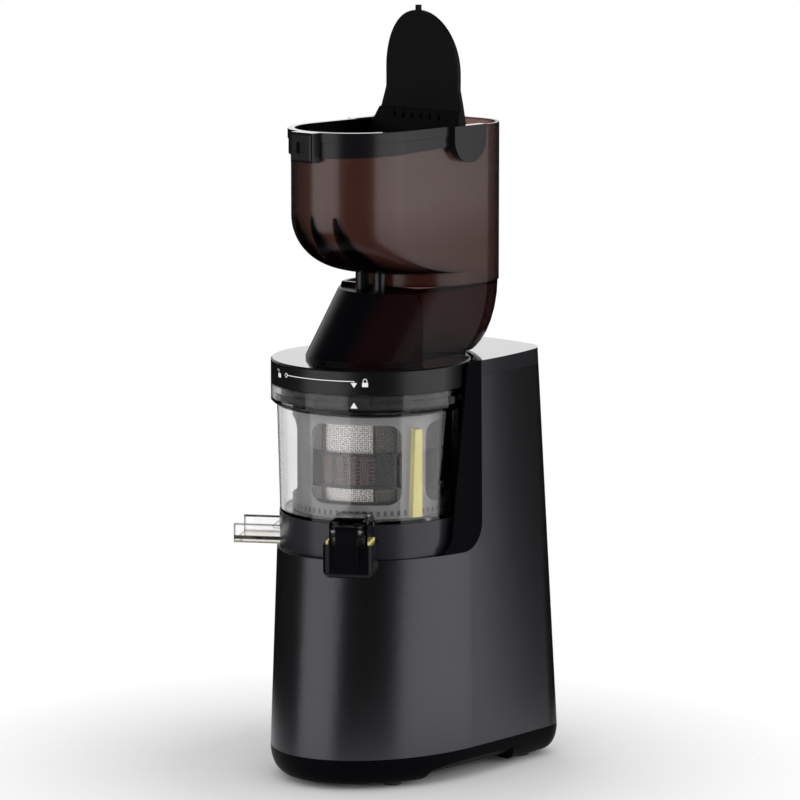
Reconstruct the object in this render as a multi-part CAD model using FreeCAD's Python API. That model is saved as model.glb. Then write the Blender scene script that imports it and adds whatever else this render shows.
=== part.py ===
import FreeCAD, Part
import math
import os

# Vertical slow juicer, in millimetres. The origin is the bowl axis on the counter, +Z is up, the front is -Y.
# Angles about the bowl axis are in degrees from +X.

# Heights of the stacked pieces, from the counter up
FOOT_HEIGHT = 2.5
PAN_HEIGHT = 18.7
BASE_HEIGHT = 135.8
BAND_HEIGHT = 24.0
BOWL_HEIGHT = 75.3
FLANGE_HEIGHT = 13.0
LID_HEIGHT = 16.5
NECK_HEIGHT = 48.0
HOPPER_HEIGHT = 108.0
CAP_HEIGHT = 10.0

# Walls
SKIN = 2.5
BAY_WALL = 2.5
PAN_FLOOR = 3.0
BOWL_WALL = 2.4
BOWL_FLOOR = 3.5
FLOOR_ABOVE_BAND = 2.0
SMOKE_WALL = 2.5
LID_PLATE = 4.0
LID_CHAMFER = 1.0

# Clearances
SLIP = 0.1
SEAT_GAP = 0.1
TURN_GAP = 0.2
RUN_GAP = 0.3
SWEEP_GAP = 0.8

# Bowl and lid in plan
BOWL_RADIUS = 62.0
BOWL_FLARE = 1.9
FLANGE_REACH = 4.1
FLANGE_CHAMFER = 1.5
BAND_STEP = 0.5
BAND_WALL = 3.0
BAY_FOOT_GAP = 4.5
BAY_MOUTH_GAP = 1.6

# Motor base in plan, at the pan seam and at the tower top
SIDE_BEYOND_FOOT = 4.0
SIDE_INSIDE_MOUTH = 1.3
FRONT_BEYOND_BAND = 13.0
FRONT_BEHIND_BAND = 2.4
WIDEST_Y = 24.0
REAR_DRAW_AT_SEAM = 2.0
REAR_DRAW_AT_TOP = 9.3
REAR_Y_AT_SEAM = 108.5
REAR_Y_AT_TOP = 101.5
REAR_CORNER = 24.0
REAR_BULGE = 10.0
PAN_INSET = 12.0

# Cut-away in front of the tower and the wings of the bay
CUT_Y = 36.0
CUT_ROUND = 19.0
WING_FOOT_Y = 6.6
WING_TOP_Y = 22.0
WING_FILLET = 12.0
WING_LIP = 1.5

# Lifting recesses, air slots, feet and screws of the pan
GRIP_FRONT_Y = -14.0
GRIP_REAR_Y = 75.0
GRIP_HEIGHT = 5.0
GRIP_LIP = 6.5
GRIP_DEPTH = 10.0
GRIP_REACH = 30.0
GRIP_SLOPE = 6.0
SLOT_WIDTH = 3.0
SLOT_LENGTH = 34.0
SLOT_PITCH = 7.0
SLOT_COUNT = 6
FOOT_RADIUS = 6.0
FOOT_PLUG = 1.5
FOOT_PLACES = [(42.0, -25.0), (-42.0, -25.0), (50.0, 99.0), (-50.0, 99.0)]
SCREW_PLACES = [(26.0, -46.0), (-26.0, -46.0), (34.0, 98.0), (-34.0, 98.0)]
SCREW_RADIUS = 1.8
SCREW_HEAD = 3.6
SCREW_HEAD_HEIGHT = 2.0
SCREW_LENGTH = 24.0
BOSS_RADIUS = 5.0
BOSS_HEIGHT = 24.0

# Motor and gearbox
POST_LENGTH = 12.5
POST_RADIUS = 5.0
POST_PLACES = [(24.0, -20.0), (-24.0, -20.0), (24.0, 50.0), (-24.0, 50.0)]
COVER_PLATE = 4.0
BOX_HEIGHT = 38.0
BOX_FLOOR = 4.0
BOX_WALL = 2.5
TIP_GAP = 2.5
DRIVE_MODULE = 1.0
PINION_TEETH = 12
WHEEL_TEETH = 60
STAGE_ONE_BOTTOM = 4.0
STAGE_ONE_WIDTH = 8.0
STAGE_GAP = 3.0
PINION_PROUD = 1.0
SHOULDER = 1.0
STAGE_TWO_WIDTH = 15.0
IDLER_HUB = 9.0
IDLER_PIN_RADIUS = 4.0
MOTOR_RADIUS = 36.0
MOTOR_LENGTH = 72.0
MOTOR_WALL = 2.0
MOTOR_END = 3.0
MOTOR_PILOT = 9.0
MAGNET_THICKNESS = 7.0
AIR_GAP = 1.0
ARMATURE_LENGTH = 50.0
ARMATURE_SLOTS = 8
MOTOR_SHAFT = 2.5
FAN_RADIUS = 30.0
FAN_HEIGHT = 8.0
FAN_DROP = 3.0
FAN_BLADES = 7
FAN_HUB = 7.0
FAN_PLATE = 1.5
VANE_MARGIN = 1.0
SHAFT_RADIUS = 7.0
BEARING_RADIUS = 11.0
BEARING_HEIGHT = 6.0
BOSS_TUBE_WALL = 2.0
BOSS_TUBE_TOP = 5.0
OIL_SEAL_HEIGHT = 5.0
HEX_FLATS = 10.0
HEX_LENGTH = 50.0
HEX_CLEAR = 2.0
HEX_END_GAP = 1.0

# Electrics at the back of the base
BOARD = (50.0, 1.6, 62.0)
BOARD_Y = 86.0
RAIL_HEIGHT = 24.0
RAIL_SIZE = 5.0
CAPACITOR_RADIUS = 11.0
CAPACITOR_LENGTH = 24.0
CAPACITOR_Z = 48.0
SENSOR = (12.0, 8.0, 12.0)
SENSOR_GAP = 3.0
SWITCH_Z = 96.0
SWITCH_HALF = (9.0, 13.0)
SWITCH_DEPTH = 14.0
SWITCH_RIM = 1.5
ROCKER_RADIUS = 9.6
ROCKER_HALF = 6.2
ROCKER_TILT = 8.0
ROCKER_BACK = 4.0
ROCKER_FACE = 4.0
ROCKER_STUB = (1.5, 1.4)
CORD_Z = 40.0
CORD_BORE = 4.0
CORD_BUSH = 8.0
CORD_FLANGE = 10.5
CORD_FLANGE_THICKNESS = 2.0

# Brush gear in the bowl: sun on the auger, one pinion, ring on the brush cage
BRUSH_MODULE = 1.5
SUN_TEETH = 16
PLANET_TEETH = 24
BRUSH_GEAR_WIDTH = 6.0
GEAR_LIFT = 1.0
PLANET_PIN = 3.0
PIN_SEAT = 1.0
PRESSURE_ANGLE = 25.0
BACKLASH = 0.2
RING_RIM = 3.6

# Bowl inside
SHAFT_TUBE_WALL = 2.9
SHAFT_TUBE_DROP = 13.0
STEM_WALL = 1.3
STEM_DROP = 15.0
BOWL_SEAL_RADIUS = 12.0
BOWL_SEAL_HEIGHT = 0.7
STRAINER_LIFT = 8.5
STRAINER_RADIUS = 45.4
STRAINER_TOP_DROP = 4.3
MESH_WALL = 0.8
FRAME_WALL = 1.7
FRAME_FLOOR = 2.5
FRAME_RIBS = 8
FRAME_RIB_HALF = 0.8
FRAME_BAND_BOTTOM = 46.0
FRAME_BAND_TOP = 70.0
FRAME_TOP_RING = 4.0
FRAME_RIM_REACH = 1.5
FRAME_LIP = 2.0
STRAINER_POST = 3.5
STRAINER_POST_RADIUS = 32.0
STRAINER_POST_SPREAD = 70.0
CAGE_WALL = 2.6
CAGE_POSTS = 4
WIPERS = 2
CAGE_POST_ANGLE = -15.0
CAGE_WINDOW_SPAN = 70.0
CAGE_WINDOW_ROUND = 9.0
CAGE_TOP_RING = 5.0
WIPER_TOP_HALF = 2.7
WIPER_FOOT_HALF = 4.75
WIPER_INSET = 3.0
WIPER_LIFT = 1.0

# Auger
AUGER_FOOT_RADIUS = 30.0
AUGER_HEAD_RADIUS = 15.0
AUGER_PITCH = 24.0
AUGER_TURNS = 2.0
FLIGHT_ROOT = 7.0
FLIGHT_TIP = 3.0
FLIGHT_STEPS = 12
AUGER_PIVOT = 5.0
AUGER_NECK = 14.0
INSERT_WALL = 1.43
INSERT_ROOF = 2.0
BUSH_RADIUS = 8.0
BUSH_BOSS = 11.0
BUSH_TOP_DROP = 7.0
BUSH_LENGTH = 17.0

# Juice spout and its cap, along the spout from the bowl axis
JUICE_ANGLE = -58.0
SPOUT_REACH = 21.5
SPOUT_HALF = 13.0
SPOUT_DROP = 21.0
SPOUT_RISE = 8.0
SPOUT_WALL = 2.0
SPOUT_ROUND = 5.0
OUTLET_LENGTH = 16.0
CAP_OVERLAP = 18.0
CAP_FRONT = 5.5
CAP_HALF = 17.0
CAP_WALL = 2.2
CAP_BOTTOM_DROP = 32.0
CAP_TOP_DROP = 9.0
CAP_FLOOR = 3.0
CAP_ROUND = 5.0
LEVER_HALF = 7.5
LEVER_THICKNESS = 2.0
LEVER_DROP = 26.0
LEVER_ROOT = 1.0
LEVER_BOW = 1.5
LEVER_ROUND = 5.0
CAP_PIVOT_REACH = 4.0
CAP_PIN_RADIUS = 1.5
CAP_BARREL = 3.3
CAP_LUG_HALF = 10.5
SEAL_STRIP = 1.4
SEAL_RISE = 2.0
SEAL_SETBACK = 1.0

# Pulp port and trough
PULP_ANGLE = -148.0
PORT_NEAR = 18.0
PORT_FAR = 36.0
PORT_HALF = 12.0
CHUTE_WALL = 2.0
PULP_SEAL_HEIGHT = 1.2
TROUGH_HALF = 18.0
TROUGH_REACH = 29.5
TROUGH_LIFT = 1.0
TROUGH_HEIGHT = 13.0
TROUGH_WALL = 2.0
TROUGH_KNEE_INSET = 8.5
TROUGH_FALL = 14.0
TROUGH_STEP_INSET = 6.5

# Bayonet of the lid
PLUG_DROP = 11.0
PLUG_WALL = 3.6
PLUG_GAP = 0.4
LUG_ANGLES = [30.0, 150.0, 270.0]
LUG_REACH = 3.3
LUG_HALF = 8.0
LUG_HEIGHT = 4.0
LUG_DROP = 5.5
LUG_GAP = 0.6
LUG_ROOT = 1.0
UNLOCK_TURN = 35.0
MAGNET = (10.0, 4.0, 8.5)
MAGNET_LIFT = 0.5

# Feed neck on the lid
FEED_FRONT_Y = 13.0
FEED_HALF = 32.0
FEED_LEDGE = 1.5
NECK_HALF = 40.0
NECK_LIFT = 2.0
NECK_FLOOR = 2.5
NECK_FRONT_AT_LID = -48.0
NECK_REAR_AT_LID = 69.0
NECK_FRONT_AT_TOP = -11.0
NECK_REAR_AT_TOP = 104.0
NECK_ROUND = 30.0
NECK_STEPS = 7
NECK_SPLIT_Y = 8.0
COVER_DROP = 3.0
SUPPORT_X = 8.0
SUPPORT_Y = 0.0
SUPPORT_RADIUS = 4.5

# Hopper
HOPPER_HALF = 43.0
HOPPER_NOSE = 45.5
HOPPER_NOSE_Y = -14.0
HOPPER_REAR_Y = 103.0
HOPPER_ROUND = 32.0
FLOOR_END_Y = 6.0
FLOOR_STEPS = 4
COLLAR_NOSE = 46.0
FLOOR_RISE = 42.0
FLOOR_LIFT = 9.0
FIN_PITCH = 17.0
FIN_HALF = 1.0
FIN_DEPTH = 8.0
FIN_TOE = 2.0
FIN_END_Y = 5.0
TRIM_HEIGHT = 16.0
TRIM_EAR_HEIGHT = 12.5
TRIM_WALL = 1.6
TRIM_BEAD = 0.6
TRIM_BEAD_HEIGHT = 5.5
TRIM_TOP = 1.2
LATCH_HALF = 10.0
LATCH_REACH = 8.0
LATCH_HEIGHT = 20.0
LATCH_ROUND = 2.0
LATCH_WINDOW = 7.3
LATCH_WINDOW_DEPTH = 2.0

# Swinging feed flap and its hinge
HINGE_Y = 46.5
HINGE_DROP = 11.0
EAR_RADIUS = 16.0
EAR_RISE = 3.0
EAR_REACH = 6.0
PIN_RADIUS = 3.0
PIN_INSIDE = 7.0
FLAP_LENGTH = 87.5
FLAP_HALF = 32.5
FLAP_CROWN = 42.0
FLAP_THICKNESS = 3.5
FLAP_BOW = 5.0
FLAP_NUB = (1.3, 3.5)
FLAP_SIDE_GAP = 1.2
FLAP_BASE_RADIUS = 7.0
FLAP_BASE_RISE = 20.0
FLAP_FLARE_RISE = 34.0
RIB_COUNT = 6
RIB_PITCH = 8.0
RIB_HALF = 1.5
RIB_LIFT = 14.0
RIB_HEIGHT = 17.0
RIB_DEPTH = 2.0
FLAP_SWEEP = 97.0

# Levels that follow from the stack
SEAM = FOOT_HEIGHT + PAN_HEIGHT
DECK = SEAM + BASE_HEIGHT
BAND_TOP = DECK + BAND_HEIGHT
FLANGE_BOTTOM = BAND_TOP + BOWL_HEIGHT
FLANGE_TOP = FLANGE_BOTTOM + FLANGE_HEIGHT
LID_BOTTOM = FLANGE_TOP + TURN_GAP
LID_TOP = LID_BOTTOM + LID_HEIGHT
NECK_TOP = LID_TOP + NECK_HEIGHT
RIM = NECK_TOP + HOPPER_HEIGHT
CAP_SEAM = LID_TOP - CAP_HEIGHT
FLOOR_TOP = BAND_TOP + FLOOR_ABOVE_BAND
FLOOR_BOTTOM = FLOOR_TOP - BOWL_FLOOR
HINGE_Z = RIM - HINGE_DROP

# Radii that follow from the bowl
BOWL_TOP_RADIUS = BOWL_RADIUS + BOWL_FLARE
LID_RADIUS = BOWL_TOP_RADIUS + FLANGE_REACH
BAND_RADIUS = BOWL_RADIUS + BAND_STEP
BAND_BORE = BAND_RADIUS - BAND_WALL
FLOOR_EDGE = BAND_BORE - SEAT_GAP
BOWL_BORE = BOWL_RADIUS - BOWL_WALL
BOWL_MOUTH = BOWL_TOP_RADIUS - BOWL_WALL
BAY_FOOT = BAND_RADIUS + BAY_FOOT_GAP
BAY_MOUTH = LID_RADIUS + BAY_MOUTH_GAP
HALF_AT_SEAM = BAY_FOOT + SIDE_BEYOND_FOOT
HALF_AT_TOP = BAY_MOUTH - SIDE_INSIDE_MOUTH
FRONT_AT_SEAM = -BAND_RADIUS - FRONT_BEYOND_BAND
FRONT_AT_TOP = -BAND_RADIUS + FRONT_BEHIND_BAND

# Gear sizes and levels
GEAR_DISTANCE = DRIVE_MODULE * (PINION_TEETH + WHEEL_TEETH) / 2
WHEEL_TIP = DRIVE_MODULE * (WHEEL_TEETH / 2 + 1)
BOX_RADIUS = WHEEL_TIP + TIP_GAP + BOX_WALL
COVER_TOP = DECK - SKIN - POST_LENGTH
BOX_TOP = COVER_TOP - COVER_PLATE
BOX_BOTTOM = BOX_TOP - BOX_HEIGHT
STAGE_ONE_Z = BOX_BOTTOM + BOX_FLOOR + STAGE_ONE_BOTTOM
STAGE_TWO_Z = STAGE_ONE_Z + STAGE_ONE_WIDTH + STAGE_GAP
BOSS_TUBE_RADIUS = BEARING_RADIUS + BOSS_TUBE_WALL
HEX_BOTTOM = DECK + BOSS_TUBE_TOP + HEX_CLEAR
HEX_TOP = HEX_BOTTOM + HEX_LENGTH
RING_TEETH = SUN_TEETH + 2 * PLANET_TEETH
PLANET_DISTANCE = BRUSH_MODULE * (SUN_TEETH + PLANET_TEETH) / 2
PLANET_ANGLE = PULP_ANGLE + 180.0
GEAR_Z = FLOOR_TOP + GEAR_LIFT
RING_RADIUS = BRUSH_MODULE * (RING_TEETH / 2 + 1.25) + RING_RIM
CAGE_TOP = FLANGE_BOTTOM - STRAINER_TOP_DROP
STRAINER_FLOOR = FLOOR_TOP + STRAINER_LIFT
STRAINER_OUT = STRAINER_RADIUS + MESH_WALL
FRAME_OUT = STRAINER_OUT + FRAME_WALL
AUGER_RADIUS = STRAINER_RADIUS - SWEEP_GAP

SPOUT_END = BAND_RADIUS + SPOUT_REACH
OUTLET_NEAR = SPOUT_END - OUTLET_LENGTH
CAP_NEAR = SPOUT_END - CAP_OVERLAP
CAP_END = SPOUT_END + CAP_FRONT
CAP_PIVOT = SPOUT_END + CAP_PIVOT_REACH
TROUGH_END = BAND_RADIUS + TROUGH_REACH
TROUGH_KNEE = BAND_RADIUS - TROUGH_KNEE_INSET
TROUGH_STEP = BAND_RADIUS - TROUGH_STEP_INSET
FEED_RADIUS = BOWL_MOUTH - PLUG_GAP - PLUG_WALL - FEED_LEDGE
FLAP_BASE_HALF = HOPPER_HALF - SMOKE_WALL - FLAP_SIDE_GAP
HEX_CORNER = HEX_FLATS / math.sqrt(3)
INSERT_RADIUS = HEX_CORNER + INSERT_WALL
STEM_RADIUS = INSERT_RADIUS + STEM_WALL
FAR = 400.0
OVER = 1.0


def point(x, y, z):
    return FreeCAD.Vector(x, y, z)


def mix(first, second, share):
    return first + (second - first) * share


def box(x, y, z):
    """Block between the pairs of limits x, y and z."""
    return Part.makeBox(x[1] - x[0], y[1] - y[0], z[1] - z[0], point(x[0], y[0], z[0]))


def cylinder(radius, bottom, top, x=0.0, y=0.0):
    return Part.makeCylinder(radius, top - bottom, point(x, y, bottom))


def tube(outer, inner, bottom, top, x=0.0, y=0.0):
    return cylinder(outer, bottom, top, x, y).cut(cylinder(inner, bottom, top, x, y))


def along_x(radius, left, right, y, z):
    return Part.makeCylinder(radius, right - left, point(left, y, z), point(1, 0, 0))


def along_y(radius, near, far, x, z):
    return Part.makeCylinder(radius, far - near, point(x, near, z), point(0, 1, 0))


def turned_by(shape, angle):
    """Copy of a shape, turned about the bowl axis."""
    copy = shape.copy()
    copy.rotate(point(0, 0, 0), point(0, 0, 1), angle)
    return copy


def mirrored(shape):
    """Copy of a shape on the other side of the middle plane."""
    return shape.mirror(point(0, 0, 0), point(1, 0, 0))


def joined(shapes):
    first, *others = shapes
    return first.multiFuse(others).removeSplitter()


def arc(center, radius, start, end):
    """Arc step for a flat outline: its middle and its end, from two angles in degrees."""
    steps = []
    for angle in ((start + end) / 2, end):
        turn = math.radians(angle)
        steps.append((center[0] + radius * math.cos(turn), center[1] + radius * math.sin(turn)))
    return steps


def closed_wire(steps, place):
    """Closed wire through flat points, where a list of two points is an arc by its middle and end."""
    here = place(*steps[0])
    edges = []
    for step in steps[1:] + [steps[0]]:
        if isinstance(step, list):
            end = place(*step[1])
            edges.append(Part.Arc(here, place(*step[0]), end).toShape())
        else:
            end = place(*step)
            if end.isEqual(here, 1e-6):
                continue
            edges.append(Part.makeLine(here, end))
        here = end
    return Part.Wire(edges)


def plan_prism(steps, bottom, top):
    """Prism of an (x, y) outline."""
    wire = closed_wire(steps, lambda x, y: point(x, y, bottom))
    return Part.Face(wire).extrude(point(0, 0, top - bottom))


def side_prism(steps, left, right):
    """Prism of a (y, z) outline."""
    wire = closed_wire(steps, lambda y, z: point(left, y, z))
    return Part.Face(wire).extrude(point(right - left, 0, 0))


def front_prism(steps, near, far):
    """Prism of an (x, z) outline."""
    wire = closed_wire(steps, lambda x, z: point(x, near, z))
    return Part.Face(wire).extrude(point(0, far - near, 0))


def lathe(steps):
    """Solid turned from an (r, z) outline."""
    wire = closed_wire(steps, lambda r, z: point(r, 0, z))
    return Part.Face(wire).revolve(point(0, 0, 0), point(0, 0, 1), 360)


def ellipse_over(center, side, tip):
    """Edge of a half ellipse from the side opposite to side, over the tip, to side."""
    if (tip - center).Length >= (side - center).Length:
        return Part.ArcOfEllipse(Part.Ellipse(tip, side, center), -math.pi / 2, math.pi / 2).toShape()
    opposite = center * 2 - side
    return Part.ArcOfEllipse(Part.Ellipse(opposite, tip, center), 0, math.pi).toShape()


def half_ellipse(center_y, half_width, reach, level):
    """Edge of the half ellipse in front of center_y, from the left to the right."""
    center = point(0, center_y, level)
    return ellipse_over(center, point(half_width, center_y, level), point(0, center_y - reach, level))


def base_outline(level, inset=0.0):
    """Plan of the motor base: elliptical front, drawn-in sides, round corners and a bowed back."""
    share = (level - SEAM) / (LID_TOP - SEAM)
    front = mix(FRONT_AT_SEAM, FRONT_AT_TOP, share) + inset
    half = mix(HALF_AT_SEAM, HALF_AT_TOP, share) - inset
    draw = mix(REAR_DRAW_AT_SEAM, REAR_DRAW_AT_TOP, share)
    rear_y = mix(REAR_Y_AT_SEAM, REAR_Y_AT_TOP, share)
    corner = REAR_CORNER - inset
    run = rear_y - WIDEST_Y
    lean = 2 * math.atan(draw / run)
    sweep = (draw ** 2 + run ** 2) / (2 * draw)
    side_middle = (half - sweep * (1 - math.cos(lean / 2)), WIDEST_Y + sweep * math.sin(lean / 2))
    side_end = (half - draw, rear_y)
    first_heading = math.pi / 2 + lean
    last_heading = math.pi - math.radians(REAR_BULGE)
    center_x = side_end[0] - corner * math.sin(first_heading)
    center_y = side_end[1] + corner * math.cos(first_heading)
    corner_steps = []
    for heading in ((first_heading + last_heading) / 2, last_heading):
        corner_steps.append((center_x + corner * math.sin(heading), center_y - corner * math.cos(heading)))
    chord, chord_y = corner_steps[1]
    back_y = chord_y + chord * math.tan(math.radians(REAR_BULGE) / 2)

    def at(place):
        return point(place[0], place[1], level)

    def opposite(place):
        return point(-place[0], place[1], level)

    edges = [
        half_ellipse(WIDEST_Y, half, WIDEST_Y - front, level),
        Part.Arc(at((half, WIDEST_Y)), at(side_middle), at(side_end)).toShape(),
        Part.Arc(at(side_end), at(corner_steps[0]), at(corner_steps[1])).toShape(),
        Part.Arc(at(corner_steps[1]), at((0, back_y)), opposite(corner_steps[1])).toShape(),
        Part.Arc(opposite(corner_steps[1]), opposite(corner_steps[0]), opposite(side_end)).toShape(),
        Part.Arc(opposite(side_end), opposite(side_middle), opposite((half, WIDEST_Y))).toShape(),
    ]
    return Part.Wire(edges)


def back_of_base(level):
    """Y of the middle of the bowed back."""
    return base_outline(level).BoundBox.YMax


def base_skin(inset=0.0):
    """Solid inside the tapered skin of base and tower."""
    return Part.makeLoft([base_outline(SEAM, inset), base_outline(LID_TOP, inset)], True, True)


def front_cut(grow=0.0):
    """Space above the deck in front of the tower, with its rounded inner corner."""
    center = (CUT_Y - CUT_ROUND, DECK + CUT_ROUND)
    steps = [
        (-FAR, DECK - grow),
        (center[0], DECK - grow),
        arc(center, CUT_ROUND + grow, -90, 0),
        (CUT_Y + grow, FAR),
        (-FAR, FAR),
    ]
    return side_prism(steps, -FAR, FAR)


def bay_space(grow=0.0):
    """Tapered round space that the bowl and lid stand in."""
    rise = LID_TOP - DECK
    slope = (BAY_MOUTH - BAY_FOOT) / rise
    above = 5.0
    top_radius = BAY_MOUTH + slope * above + grow
    return Part.makeCone(BAY_FOOT + grow, top_radius, rise + above, point(0, 0, DECK))


def feed_hole(bottom, top):
    """Opening that food falls through, behind the auger pivot."""
    block = box((-FEED_HALF, FEED_HALF), (FEED_FRONT_Y, FAR), (bottom, top))
    return block.common(cylinder(FEED_RADIUS, bottom, top))


def capsule(radius, bottom, top):
    """Upright capsule round the motor axis and the idler axis."""
    steps = [
        (radius, 0),
        (radius, GEAR_DISTANCE),
        arc((0, GEAR_DISTANCE), radius, 0, 180),
        (-radius, 0),
        arc((0, 0), radius, 180, 360),
    ]
    return plan_prism(steps, bottom, top)


def involute(angle):
    return math.tan(angle) - angle


def gear_outline(teeth, module, tooth_angle, addendum=1.0, dedendum=1.25, thicker=-BACKLASH, flank=2):
    """Outline of a spur gear with a tooth at tooth_angle, with flank straight steps to each involute."""
    pressure = math.radians(PRESSURE_ANGLE)
    pitch = module * teeth / 2
    base = pitch * math.cos(pressure)
    tip = pitch + addendum * module
    root = pitch - dedendum * module
    start = max(base, root)
    half_at_base = math.pi / (2 * teeth) + thicker / (2 * pitch) + involute(pressure)
    rising = []
    if root < base:
        rising.append((root, half_at_base))
    for step in range(flank + 1):
        radius = mix(start, tip, step / flank)
        rising.append((radius, half_at_base - involute(math.acos(min(1.0, base / radius)))))
    falling = [(radius, -half) for radius, half in reversed(rising)]
    outline = []
    for tooth in range(teeth):
        middle = math.radians(tooth_angle) + 2 * math.pi * tooth / teeth
        for radius, half in rising + falling:
            outline.append((radius * math.cos(middle - half), radius * math.sin(middle - half)))
    return outline


def moved(outline, x, y):
    return [(px + x, py + y) for px, py in outline]


def hexagon(flats):
    radius = flats / math.sqrt(3)
    corners = [math.radians(60 * corner) for corner in range(6)]
    return [(radius * math.cos(turn), radius * math.sin(turn)) for turn in corners]


# Motor base

def screw_boss(x, y):
    """Screw boss under the skin, with a rib to the nearer end wall."""
    outward = math.copysign(1.0, y)
    rib = sorted((y, outward * FAR))
    post = cylinder(BOSS_RADIUS, SEAM, SEAM + BOSS_HEIGHT, x, y)
    return post.fuse(box((x - SKIN / 2, x + SKIN / 2), rib, (SEAM, SEAM + BOSS_HEIGHT)))


def outer_housing():
    skin = base_skin()
    bay_floor = cylinder(BAY_FOOT + BAY_WALL, DECK - SKIN, DECK)
    hollow = base_skin(SKIN).cut(front_cut(SKIN)).cut(bay_floor)
    below_cap = box((-FAR, FAR), (-FAR, FAR), (0, CAP_SEAM))
    shell = skin.common(below_cap).cut(front_cut()).cut(hollow).cut(bay_space(BAY_WALL))
    inside = []
    for x, y in POST_PLACES:
        inside.append(cylinder(POST_RADIUS, COVER_TOP, DECK - SKIN / 2, x, y))
    for x, y in SCREW_PLACES:
        inside.append(screw_boss(x, y).common(base_skin(SKIN / 2)))
    back = back_of_base(CORD_Z)
    pad = along_y(CORD_FLANGE, back - SKIN - CORD_FLANGE_THICKNESS, back, 0, CORD_Z)
    inside.append(pad)
    shell = joined([shell] + inside)
    holes = [cylinder(BOSS_TUBE_RADIUS + RUN_GAP, DECK - 2 * SKIN, DECK + SKIN)]
    for x, y in SCREW_PLACES:
        holes.append(cylinder(SCREW_RADIUS, SEAM, SEAM + BOSS_HEIGHT - SKIN, x, y))
    holes.append(along_y(CORD_BUSH + SEAT_GAP, back - FAR / 10, back + SKIN, 0, CORD_Z))
    holes.append(along_y(CORD_FLANGE + SEAT_GAP, back, back + SKIN, 0, CORD_Z))
    half_x, half_z = SWITCH_HALF
    span_z = (SWITCH_Z - half_z, SWITCH_Z + half_z)
    holes.append(box((-half_x, half_x), (back - FAR / 10, back + SKIN), span_z))
    return shell.cut(holes)


def bowl_bay():
    center = (WING_FOOT_Y - WING_FILLET, DECK + WING_LIP + WING_FILLET)
    wing = [
        (center[0], DECK),
        (center[0], DECK + WING_LIP),
        arc(center, WING_FILLET, -90, 0),
        (WING_TOP_Y, LID_TOP),
        (CUT_Y + CUT_ROUND, LID_TOP),
        (CUT_Y + CUT_ROUND, DECK),
    ]
    wings = side_prism(wing, -FAR, FAR).common(base_skin()).common(front_cut())
    behind = box((-FAR, FAR), (CUT_Y, FAR), (DECK, CAP_SEAM))
    lining = bay_space(BAY_WALL).common(behind)
    return joined([wings, lining]).cut(bay_space())


def tower_cap():
    above = box((-FAR, FAR), (CUT_Y, FAR), (CAP_SEAM, LID_TOP))
    return base_skin().common(above).cut(bay_space())


def grip_recess(grow=0.0):
    """Lifting recess under the right-hand edge of the pan, scooped out towards its lip."""
    ceiling = FOOT_HEIGHT + GRIP_HEIGHT + grow
    lip = ceiling + GRIP_LIP
    front = GRIP_FRONT_Y - grow
    rear = GRIP_REAR_Y + grow
    inner = HALF_AT_SEAM - GRIP_REACH - grow
    ends = [(front, 0), (front + GRIP_SLOPE, lip), (rear - GRIP_SLOPE, lip), (rear, 0)]
    scoop = [
        (inner, 0),
        (inner, ceiling),
        (HALF_AT_SEAM - GRIP_DEPTH, ceiling),
        (HALF_AT_SEAM, lip),
        (FAR, lip),
        (FAR, 0),
    ]
    return side_prism(ends, 0, FAR).common(front_prism(scoop, front, rear))


def base_pan():
    sections = []
    for angle in (0, 30, 60, 90):
        turn = math.radians(angle)
        sections.append(base_outline(SEAM - PAN_HEIGHT * math.sin(turn), PAN_INSET * (1 - math.cos(turn))))
    pan = Part.makeLoft(sections, True, False)
    floor_top = FOOT_HEIGHT + PAN_FLOOR
    hollow = Part.makeLoft([base_outline(floor_top, PAN_INSET), base_outline(SEAM, SKIN)], True, True)
    for grip in (grip_recess(SKIN), mirrored(grip_recess(SKIN))):
        hollow = hollow.cut(grip)
    for x, y in SCREW_PLACES:
        hollow = hollow.cut(cylinder(BOSS_RADIUS, 0, SEAM, x, y))
    for side in (-1, 1):
        x = side * BOARD[0] / 2
        hollow = hollow.cut(box((x - RAIL_SIZE, x + RAIL_SIZE), board_rail(), (0, SEAM)))
    pan = pan.cut(hollow).cut(grip_recess()).cut(mirrored(grip_recess()))
    rails = []
    for side in (-1, 1):
        x = side * BOARD[0] / 2
        rails.append(box((x - RAIL_SIZE, x + RAIL_SIZE), board_rail(), (floor_top, floor_top + RAIL_HEIGHT)))
    pan = joined([pan] + rails)
    cuts = [board_space()]
    for x, y in FOOT_PLACES:
        cuts.append(cylinder(FOOT_RADIUS, 0, FOOT_HEIGHT + FOOT_PLUG, x, y))
    for x, y in SCREW_PLACES:
        cuts.append(cylinder(SCREW_RADIUS, 0, SEAM, x, y))
        cuts.append(cylinder(SCREW_HEAD + SLIP, 0, FOOT_HEIGHT + SCREW_HEAD_HEIGHT, x, y))
    for slot in range(SLOT_COUNT):
        y = (slot - (SLOT_COUNT - 1) / 2) * SLOT_PITCH
        cuts.append(box((-SLOT_LENGTH / 2, SLOT_LENGTH / 2), (y, y + SLOT_WIDTH), (0, floor_top)))
    return pan.cut(cuts)


def board_rail():
    return (BOARD_Y - RAIL_SIZE, BOARD_Y + BOARD[1] + RAIL_SIZE)


def board_space():
    width, thickness, height = BOARD
    bottom = FOOT_HEIGHT + PAN_FLOOR
    return box((-width / 2, width / 2), (BOARD_Y, BOARD_Y + thickness), (bottom, bottom + height))


def rubber_feet():
    return [cylinder(FOOT_RADIUS, 0, FOOT_HEIGHT + FOOT_PLUG, x, y) for x, y in FOOT_PLACES]


def base_screws():
    screws = []
    for x, y in SCREW_PLACES:
        seat = FOOT_HEIGHT + SCREW_HEAD_HEIGHT
        head = cylinder(SCREW_HEAD, FOOT_HEIGHT + SLIP, seat, x, y)
        screws.append(head.fuse(cylinder(SCREW_RADIUS, seat, seat + SCREW_LENGTH, x, y)).removeSplitter())
    return screws


# Motor and gearbox

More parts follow.
